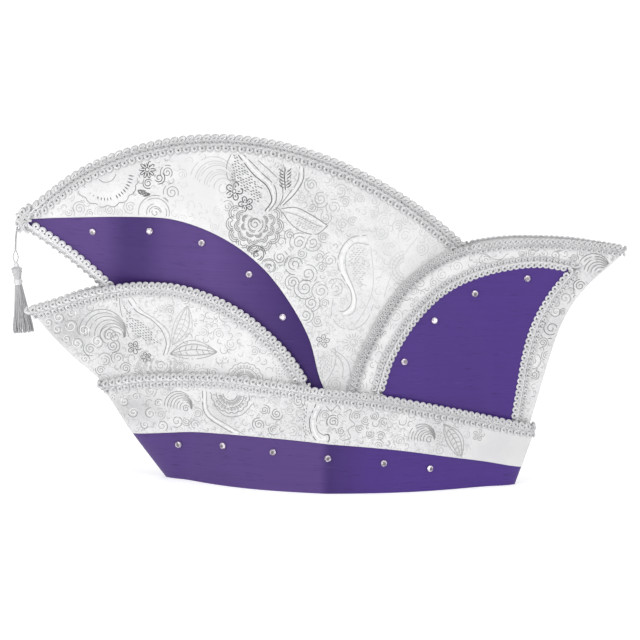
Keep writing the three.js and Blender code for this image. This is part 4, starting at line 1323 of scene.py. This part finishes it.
def heading(degrees):
    """The unit vector of an angle."""
    turn = math.radians(degrees)
    return np.array((math.cos(turn), math.sin(turn)))


def arc(radius, first, last, at=(0.0, 0.0)):
    """Points of a circle's arc between two angles in degrees, about nine degrees apart."""
    steps = max(int(abs(last - first) / 9), 4)
    return polar(radius, np.radians(np.linspace(first, last, steps + 1)), at)


def spiral(first, last, start, turns):
    """A spiral between two radii, from an angle in radians."""
    share = np.linspace(0, 1, 40)
    return polar(first + (last - first) * share, start + 2 * np.pi * turns * share)


def spoke(angle, first, last):
    return np.linspace(first, last, 4)[:, None] * heading(angle)


def petal(angle, half, first, last):
    """A petal's outline between two radii, to half a width either side of an angle, in degrees."""
    share = np.linspace(0, 1, 15)
    turn = np.radians(angle + half * (2 * share - 1))
    return polar(first + (last - first) * np.sin(np.pi * share) ** 0.5, turn)


def curl():
    return {"lines": [spiral(1.0, 0.15, -1.0, 1.75), arc(1.28, 60, 215)]}


def shell():
    def leaning(r):
        return arc(r, -10, 215 - 30 * r, (0.86 * (1 - r), 0.25 * (r - 1)))

    coil = spiral(0.26, 0.05, 0.4, 1.6) + (0.55, -0.2)
    lines = [coil, *[leaning(r) for r in (0.4, 0.52, 0.64, 0.76, 0.88, 1.0)]]
    return {"lines": lines, "fills": [(leaning(0.82), 0.1), (leaning(0.58), 0.1)]}


def rose():
    petals = [arc(0.36 + 0.16 * k, 100 * k, 100 * k + 185) for k in range(5)]
    return {"lines": [spiral(0.3, 0.05, 0.0, 1.3), *petals]}


def flower():
    petals = [petal(72 * k, 32, 0.3, 1.0) for k in range(5)]
    return {"lines": [arc(0.22, 0, 360), *petals], "bold": [spoke(72 * k, 0.4, 0.7) for k in range(5)]}


def daisy():
    return {"lines": [arc(0.24, 0, 360), *[petal(36 * k, 14, 0.34, 1.0) for k in range(10)]]}


def scalloped(reach, bulge):
    """The lower edge of a half round, with a row of bulges."""
    angle = np.radians(np.linspace(182, 358, 90))
    return polar(reach + bulge * np.abs(np.sin(8.5 * angle)), angle)


def fan():
    """A fan that opens downward: a pale heart, a row of beads and a scalloped edge."""
    beads = [spoke(a, 0.73 - 0.0006 * (a - 255), 0.81) for a in range(255, 356, 7)]
    specks = [spoke(a, 0.73, 0.79) for a in range(190, 255, 9)]
    return {"lines": [arc(0.3, 200, 350), *specks, scalloped(0.93, 0.07)], "bold": beads}


def arch():
    """A half round that opens downward: a pale arch over dense rays, beads and a scalloped edge."""
    rays = [spoke(a, 0.4, 0.6 + 0.04 * (a % 2)) for a in range(190, 352, 7)]
    beads = [arc(0.05, 0, 360, 0.8 * heading(a)) for a in range(192, 352, 12)]
    return {"lines": [arc(0.36, 182, 358), arc(0.7, 182, 358), *beads, scalloped(0.92, 0.08), *rays]}


def scroll():
    """A white spiral with a dark line along it."""
    return {"bold": [spiral(1.0, 0.25, -0.6, 1.3)], "edges": [spiral(1.3, 0.2, 2.5, 1.6)]}


def hook():
    return {"lines": [arc(1.0, 0, 235), spoke(200, 0.15, 0.5)]}


def lotus():
    """A rose heart in three rings of rounded, nested petals, open at the top."""
    lines = [spiral(0.2, 0.03, 0.0, 1.6)] + [arc(0.2 + 0.05 * k, 110 * k, 110 * k + 170) for k in range(3)]
    for reach, size, step in ((0.37, 0.14, 46), (0.56, 0.2, 37), (0.8, 0.26, 29)):
        for turn in range(152, 390, step):
            at = reach * heading(turn)
            lines += [arc(share * size, turn - 95, turn + 95, at) for share in (1.0, 0.72, 0.44)]
    return {"lines": lines}


def leaf():
    """A veined leaf from its foot at 0 to its tip at 1."""
    share = np.linspace(0, 1, 24)
    spine, swell = 0.07 * np.sin(np.pi * share), np.sin(np.pi * share) ** 0.9
    sides = [np.stack((share, spine + half * swell), axis=-1) for half in (-0.2, -0.12, 0.0, 0.12, 0.2)]
    veins = [
        np.array(((x, 0.06), (x + 0.05, 0.06 + way * 0.1)))
        for x in np.arange(0.2, 0.8, 0.12) for way in (-1, 1)
    ]
    return {"lines": sides + veins, "fills": [(sides[1], 0.1), (sides[3], 0.1)]}


def fern():
    stem = np.array(((0, 0), (0.5, 0.04), (1.0, 0)))
    leaves = [
        np.array(((x, way * 0.06), (x + 0.08, way * 0.2), (x + 0.16, way * 0.26)))
        for x in np.arange(0.1, 0.85, 0.13) for way in (-1, 1)
    ]
    return {"lines": [stem], "bold": leaves}


def sun():
    return {"lines": [arc(0.2, 0, 360), arc(0.36, 0, 360), *[spoke(a, 0.48, 1.0) for a in range(0, 360, 20)]]}


def rays():
    rings = [arc(r, 95, 265) for r in (0.4, 0.6, 0.8, 1.0)]
    return {"lines": rings + [spoke(a, 0.45, 0.95) for a in range(100, 265, 16)]}


MOTIFS = {
    motif.__name__: motif()
    for motif in (curl, scroll, hook, shell, rose, flower, daisy, fan, arch, lotus, leaf, fern, sun, rays)
}


def drawn(motif, x, z, size, turn, tone=WHITE):
    """A motif's marks at its place in the side view: tone, width, rise and points of each."""
    along, up = heading(turn)
    turned = np.array(((along, up), (-up, along)))
    shape = MOTIFS[motif]
    if tone == WHITE:
        deep, broad = WHITE, SCROLL_SHARE * size
    else:
        deep, broad = min(tone + BOLD_DEEPER, 1), min(BOLD_WIDTH, BOLD_SHARE * size)

    def put(key, tone, width):
        return [(tone, width, YARN_RISE, points * size @ turned + (x, z)) for points in shape.get(key, [])]

    fills = [
        (FILL_TONE * tone, share * size, FILL_RISE, points * size @ turned + (x, z))
        for points, share in shape.get("fills", [])
    ]
    lines = put("lines", tone, line_width(tone)) + put("bold", deep, broad)
    return fills + lines + put("edges", SCROLL_EDGE, line_width(SCROLL_EDGE))


def line_width(tone):
    return YARN_WIDTH + YARN_WIDER * tone


def smoothed(rows):
    """Points of a charted line, close together."""
    path = path_through(rows)
    return np.stack(path(np.linspace(0, 1, LINE_STEPS * len(rows))), axis=-1)


def within(corners, points):
    """Which points lie inside a polygon."""
    x, z = points.T
    inside = np.zeros(len(points), bool)
    for (x0, z0), (x1, z1) in zip(corners, corners[1:] + corners[:1]):
        crosses = (z0 > z) != (z1 > z)
        inside ^= crosses & (x < (x1 - x0) * (z - z0) / (z1 - z0 + 1e-9) + x0)
    return inside


def dashes(corners, turn):
    """Short yarns that fill a polygon in staggered rows."""
    along = heading(turn)
    across = np.array((-along[1], along[0]))
    middle = np.mean(corners, axis=0)
    made = []
    for row in range(-DASH_ROWS, DASH_ROWS + 1):
        for k in range(-DASHES_IN_ROW, DASHES_IN_ROW + 1):
            place = middle + across * row * DASH_SPACING * DASH_ROW_SHARE
            place = place + along * (k + 0.5 * (row % 2)) * DASH_SPACING * DASH_GAP_SHARE
            place = place + rng.uniform(-DASH_SCATTER, DASH_SCATTER, 2)
            if within(corners, place[None, :])[0]:
                made.append(np.stack([place + along * step * DASH_LENGTH for step in (-0.5, 0.0, 0.5)]))
    return made


def above(curve, points):
    """Distance of side-view points over a curve of x."""
    x, z = points.T
    slope = curve(x + 0.5) - curve(x - 0.5)
    return (z - curve(x)) / np.sqrt(1 + slope**2)


crown_facing_edge = curve_through(CROWN_FACING_EDGE)
band_facing_edge = curve_through(BAND_FACING_EDGE)
front_flap_height = curve_through(FRONT_FLAP_TOP)
rear_flap_height = curve_through(REAR_FLAP_TOP)
inset_height = curve_through(REAR_INSET_TOP)


def on_crown_facing(points):
    x = points[:, 0]
    shown = (x < REAR_FLAP_FOOT[0]) | (above(rear_flap_height, points) > -BEHIND_FLAP)
    clear = (x > FACING_YARNS_FRONT) & (above(crown_facing_edge, points) > HEM_CLEAR)
    return shown & clear & (above(ridge_height, points) < -RIDGE_CLEAR)


def on_front_flap(points):
    x, z = points.T
    clear = (x > front_seam(z) + SEAM_CLEAR) & (above(band_top, points) > BAND_CLEAR)
    return clear & (above(front_flap_height, points) < -BRAID_CLEAR)


def on_rear_flap(points):
    x, z = points.T
    inset = (x > INSET_FOOT[0]) & (above(inset_height, points) < np.interp(x, *INSET_CLEAR))
    inset &= x < inset_edge(z) + INSET_EDGE_CLEAR
    clear = (x < rear_seam(z) - SEAM_CLEAR) & (x > REAR_YARNS_FRONT) & (above(band_top, points) > BAND_CLEAR)
    return clear & ~inset & (above(rear_flap_height, points) < -REAR_BRAID_CLEAR)


def on_band_facing(points):
    x, z = points.T
    clear = (x > band_front(z) + SEAM_CLEAR) & (x < band_rear(z) - SEAM_CLEAR)
    return clear & (above(band_facing_edge, points) > HEM_CLEAR) & (above(band_top, points) < -BRAID_CLEAR)


BROCADES = {  # surface, region, and the x and z that its field is scattered over
    "crown_facing": (crown_facing_outer, on_crown_facing, (FACING_YARNS_FRONT, 106), (64, 256)),
    "front_flap": (flap_outer, on_front_flap, (-218, -4), (69, 148)),
    "band_facing": (band_facing_outer, on_band_facing, (-165, 112), (13, 82)),
    "rear_flap": (flap_outer, on_rear_flap, (REAR_YARNS_FRONT, 226), (44, 186)),
}


def covered(motif, x, z, size, turn, *_):
    """Circles that a charted motif covers: x, z, radius."""
    if motif not in ("leaf", "fern"):
        return [(x, z, size)]
    along, up = heading(turn)
    return [(x + t * size * along, z + t * size * up, 0.2 * size) for t in (0.2, 0.4, 0.6, 0.8)]


def field(node, region, wide, high):
    """Small curls between the charted motifs: rows like theirs."""
    taken = [circle for row in MOTIFS_CHARTED[node] for circle in covered(*row)]
    taken += [(x, z, FIELD_OFF_LINES) for _, rows in LINES_CHARTED[node] for x, z in smoothed(rows)[::3]]
    taken = np.array(taken, float)
    filled = [corners for *_, corners in DASHES_CHARTED[node]]
    rows = []
    for _ in range(FIELD_TRIES):
        if len(rows) == FIELD_CURLS[node]:
            break
        x, z, size = rng.uniform(*wide), rng.uniform(*high), rng.uniform(*FIELD_RADII)
        place = np.array(((x, z),))
        if not region(place)[0] or any(within(corners, place)[0] for corners in filled):
            continue
        apart = FIELD_KEPT_OFF * taken[:, 2] + FIELD_APART * size
        if np.any(np.hypot(taken[:, 0] - x, taken[:, 1] - z) < apart):
            continue
        taken = np.vstack((taken, (x, z, size)))
        motif = "curl" if size > FIELD_CURLED else "hook"
        plain = node == "crown_facing" and FIELD_CLEAR[0] < x < FIELD_CLEAR[1]
        tones = FIELD_TONES["plain" if plain else node]
        rows.append((motif, x, z, size, rng.uniform(0, 360), rng.uniform(*tones)))
    return rows


def yarn(points, region):
    """A line resampled to even steps, cut to the runs that lie in its region."""
    reach = summed(np.hypot(*np.diff(points, axis=0).T))
    s = np.linspace(0, reach[-1], max(int(reach[-1] / YARN_STEP), 2) + 1)
    even = np.stack([np.interp(s, reach, column) for column in points.T], axis=-1)
    inside = region(even) & (rng.uniform(size=len(even)) > YARN_BREAKS)
    starts = np.flatnonzero(np.diff(np.concatenate(([0], inside.astype(int), [0]))))
    return [even[a:b] for a, b in zip(starts[::2], starts[1::2]) if b - a >= YARN_LEAST_POINTS]


def make_motifs(yarn_cloth):
    for node, (surface, region, wide, high) in BROCADES.items():
        lines = []
        strength = curve_through(TONE_ALONG[node])
        rows = MOTIFS_CHARTED[node] + field(node, region, wide, high)
        marks = [each for row in rows for each in drawn(*row)]
        marks += [(tone, line_width(tone), YARN_RISE, smoothed(rows)) for tone, rows in LINES_CHARTED[node]]
        marks += [(WHITE, width, FILL_RISE, smoothed(rows)) for width, rows in RIBBONS_CHARTED[node]]
        for tone, turn, corners in DASHES_CHARTED[node]:
            marks += [(tone, line_width(tone), YARN_RISE, each) for each in dashes(corners, turn)]
        for tone, *look, points in marks:
            tone = tone * float(strength(points[:, 0].mean())) if tone > 0 else tone
            lines += [(tone, *look, run) for run in yarn(points, region)]
        raise_yarns(node, lines, surface, yarn_cloth)


def raise_yarns(node, lines, surface, yarn_cloth):
    """Closed three-sided yarns along lines of the side view, on both sides of the cap."""
    places, faces, tones, rises, count = [], [], [], [], 0
    for tone, width, rise, run in lines:
        along = unit(np.gradient(run, axis=0))
        index = np.arange(len(run))
        taper = np.clip(YARN_TAPER + np.minimum(index, index[::-1]), 0, 1)[:, None]
        aside = np.stack((-along[:, 1], along[:, 0]), axis=-1) * taper * width / 2
        places.append(np.stack((run - aside, run, run + aside), axis=1))
        a = count + 3 * index[:-1, None]
        for first, after in ((0, 1), (1, 2), (2, 0)):
            faces += np.concatenate((a + first, a + 3 + first, a + 3 + after, a + after), axis=1).tolist()
        faces.append([count, count + 1, count + 2])
        tones += [tone] * (3 * len(run))
        rises += [(-YARN_SINK, rise, -YARN_SINK)] * len(run)
        count += 3 * len(run)
        faces.append([count - 1, count - 2, count - 3])
    flat = np.concatenate(places)
    y = surface(flat[..., 0], flat[..., 1]) + np.array(rises)
    for half, side in SIDES:
        points = np.stack((flat[..., 0], side * y, flat[..., 1]), axis=-1).reshape(-1, 3)
        turned = faces if side > 0 else [face[::-1] for face in faces]
        made = piece(f"{node}_{half}_motifs", points, turned, [yarn_cloth])
        mark(made, "tone", tones)


# Stones
def stone(name, side, place, surface, seat, node, cut):
    """A round cut stone: girdle, kite and star facets and a table, square to its cloth."""
    x, z = (np.array([value], float) for value in place)
    normal = surface_normal(surface, x, z)[0] * (1, side, 1)
    base = np.array((x[0], side * surface(x, z)[0], z[0])) + normal * seat
    level = unit(np.cross(normal, (0, 0, 1.0)))
    rise = np.cross(level, normal)

    def ring(count, radius, height, turn=0.0):
        angle = (2 * np.pi * (np.arange(count) + turn) / count)[:, None]
        return base + normal * height + radius * (np.cos(angle) * level + np.sin(angle) * rise)

    sides, half = STONE_SIDES, STONE_SIDES // 2
    points = np.concatenate((
        ring(sides, STONE_RADIUS, 0), ring(sides, STONE_RADIUS, STONE_GIRDLE),
        ring(half, (STONE_RADIUS + STONE_TABLE) / 2, (STONE_GIRDLE + STONE_HEIGHT) / 2 + STONE_BULGE),
        ring(half, STONE_TABLE, STONE_HEIGHT, 0.5),
    ))
    faces = [list(range(sides))[::-1]]
    faces += [[k, (k + 1) % sides, sides + (k + 1) % sides, sides + k] for k in range(sides)]
    kites, table = 2 * sides, 2 * sides + half
    for k in range(half):
        low, after = sides + 2 * k, sides + (2 * k + 2) % sides
        middle, beside = kites + k, kites + (k + 1) % half
        faces += [[low, low + 1, middle], [low + 1, after, beside], [low + 1, beside, table + k, middle]]
        faces += [[middle, table + k, table + (k - 1) % half]]
    faces.append(list(range(table, table + half)))
    faces = [face[::-1] for face in faces] if np.dot(np.cross(level, rise), normal) < 0 else faces
    made = piece(name, points, faces, [cut], [node], smooth=False)
    # Painted glints and dark reflections, one shade to a facet, the girdle wall in painted shade
    painted_glint = made.data.attributes.new("painted_glint", "FLOAT_COLOR", "FACE")
    shades = rng.choice(FACET_GLINTS, size=len(faces), p=FACET_ODDS)
    shades[:1 + sides] = GIRDLE_GLINT
    shades[-1] = rng.choice(TABLE_GLINTS, p=TABLE_ODDS)
    colours = np.stack((shades, shades * GLINT_GREEN, shades, np.ones(len(faces))), axis=-1)
    painted_glint.data.foreach_set("color", colours.astype(np.float32).ravel())


def make_stones(cut):
    surfaces = {"crown": crown_outer, "rear": inset_outer, "band": band_outer}
    for half, side in SIDES:
        for row, places in STONES.items():
            for i, place in enumerate(places, 1):
                node = f"stone_{row}_{half}_{i}"
                stone(f"{node}_cut", side, place, surfaces[row], STONE_SEAT[row], node, cut)


make_camera()
silk_cloth = silk()
CLOTHS = {
    "satin": dupion(),
    "brocade": brocade_ground(),
    "gimp": gimp("silver_gimp", (0.90, 0.90, 0.91, 1), (0.70, 0.70, 0.72, 1)),
    # Painted shade: the rear flap's front braid, seen edge on, in a darker copy of the silver gimp
    "shaded_gimp": gimp("shaded_gimp", (0.72, 0.72, 0.73, 1), (0.46, 0.46, 0.47, 1)),
    # Partly the braid's own grey, partly painted shade
    "grey_shaded_gimp": gimp("grey_shaded_gimp", (0.80, 0.80, 0.81, 1), (0.54, 0.54, 0.55, 1)),
    # Plait darkened as painted shade between the rows of loops
    "plait": gimp("plaited_shaded_gimp", (0.76, 0.76, 0.77, 1), (0.36, 0.36, 0.37, 1)),
    "tape": tape(),
}
cord, cord_length = twisted_cord(silk_cloth)
skirt = tassel(silk_cloth, CLOTHS["gimp"], CLOTHS["plait"])
make_studio()
make_floor()
make_panels(CLOTHS)
make_braids(CLOTHS)
make_motifs(yarns())
make_stones(crystal())
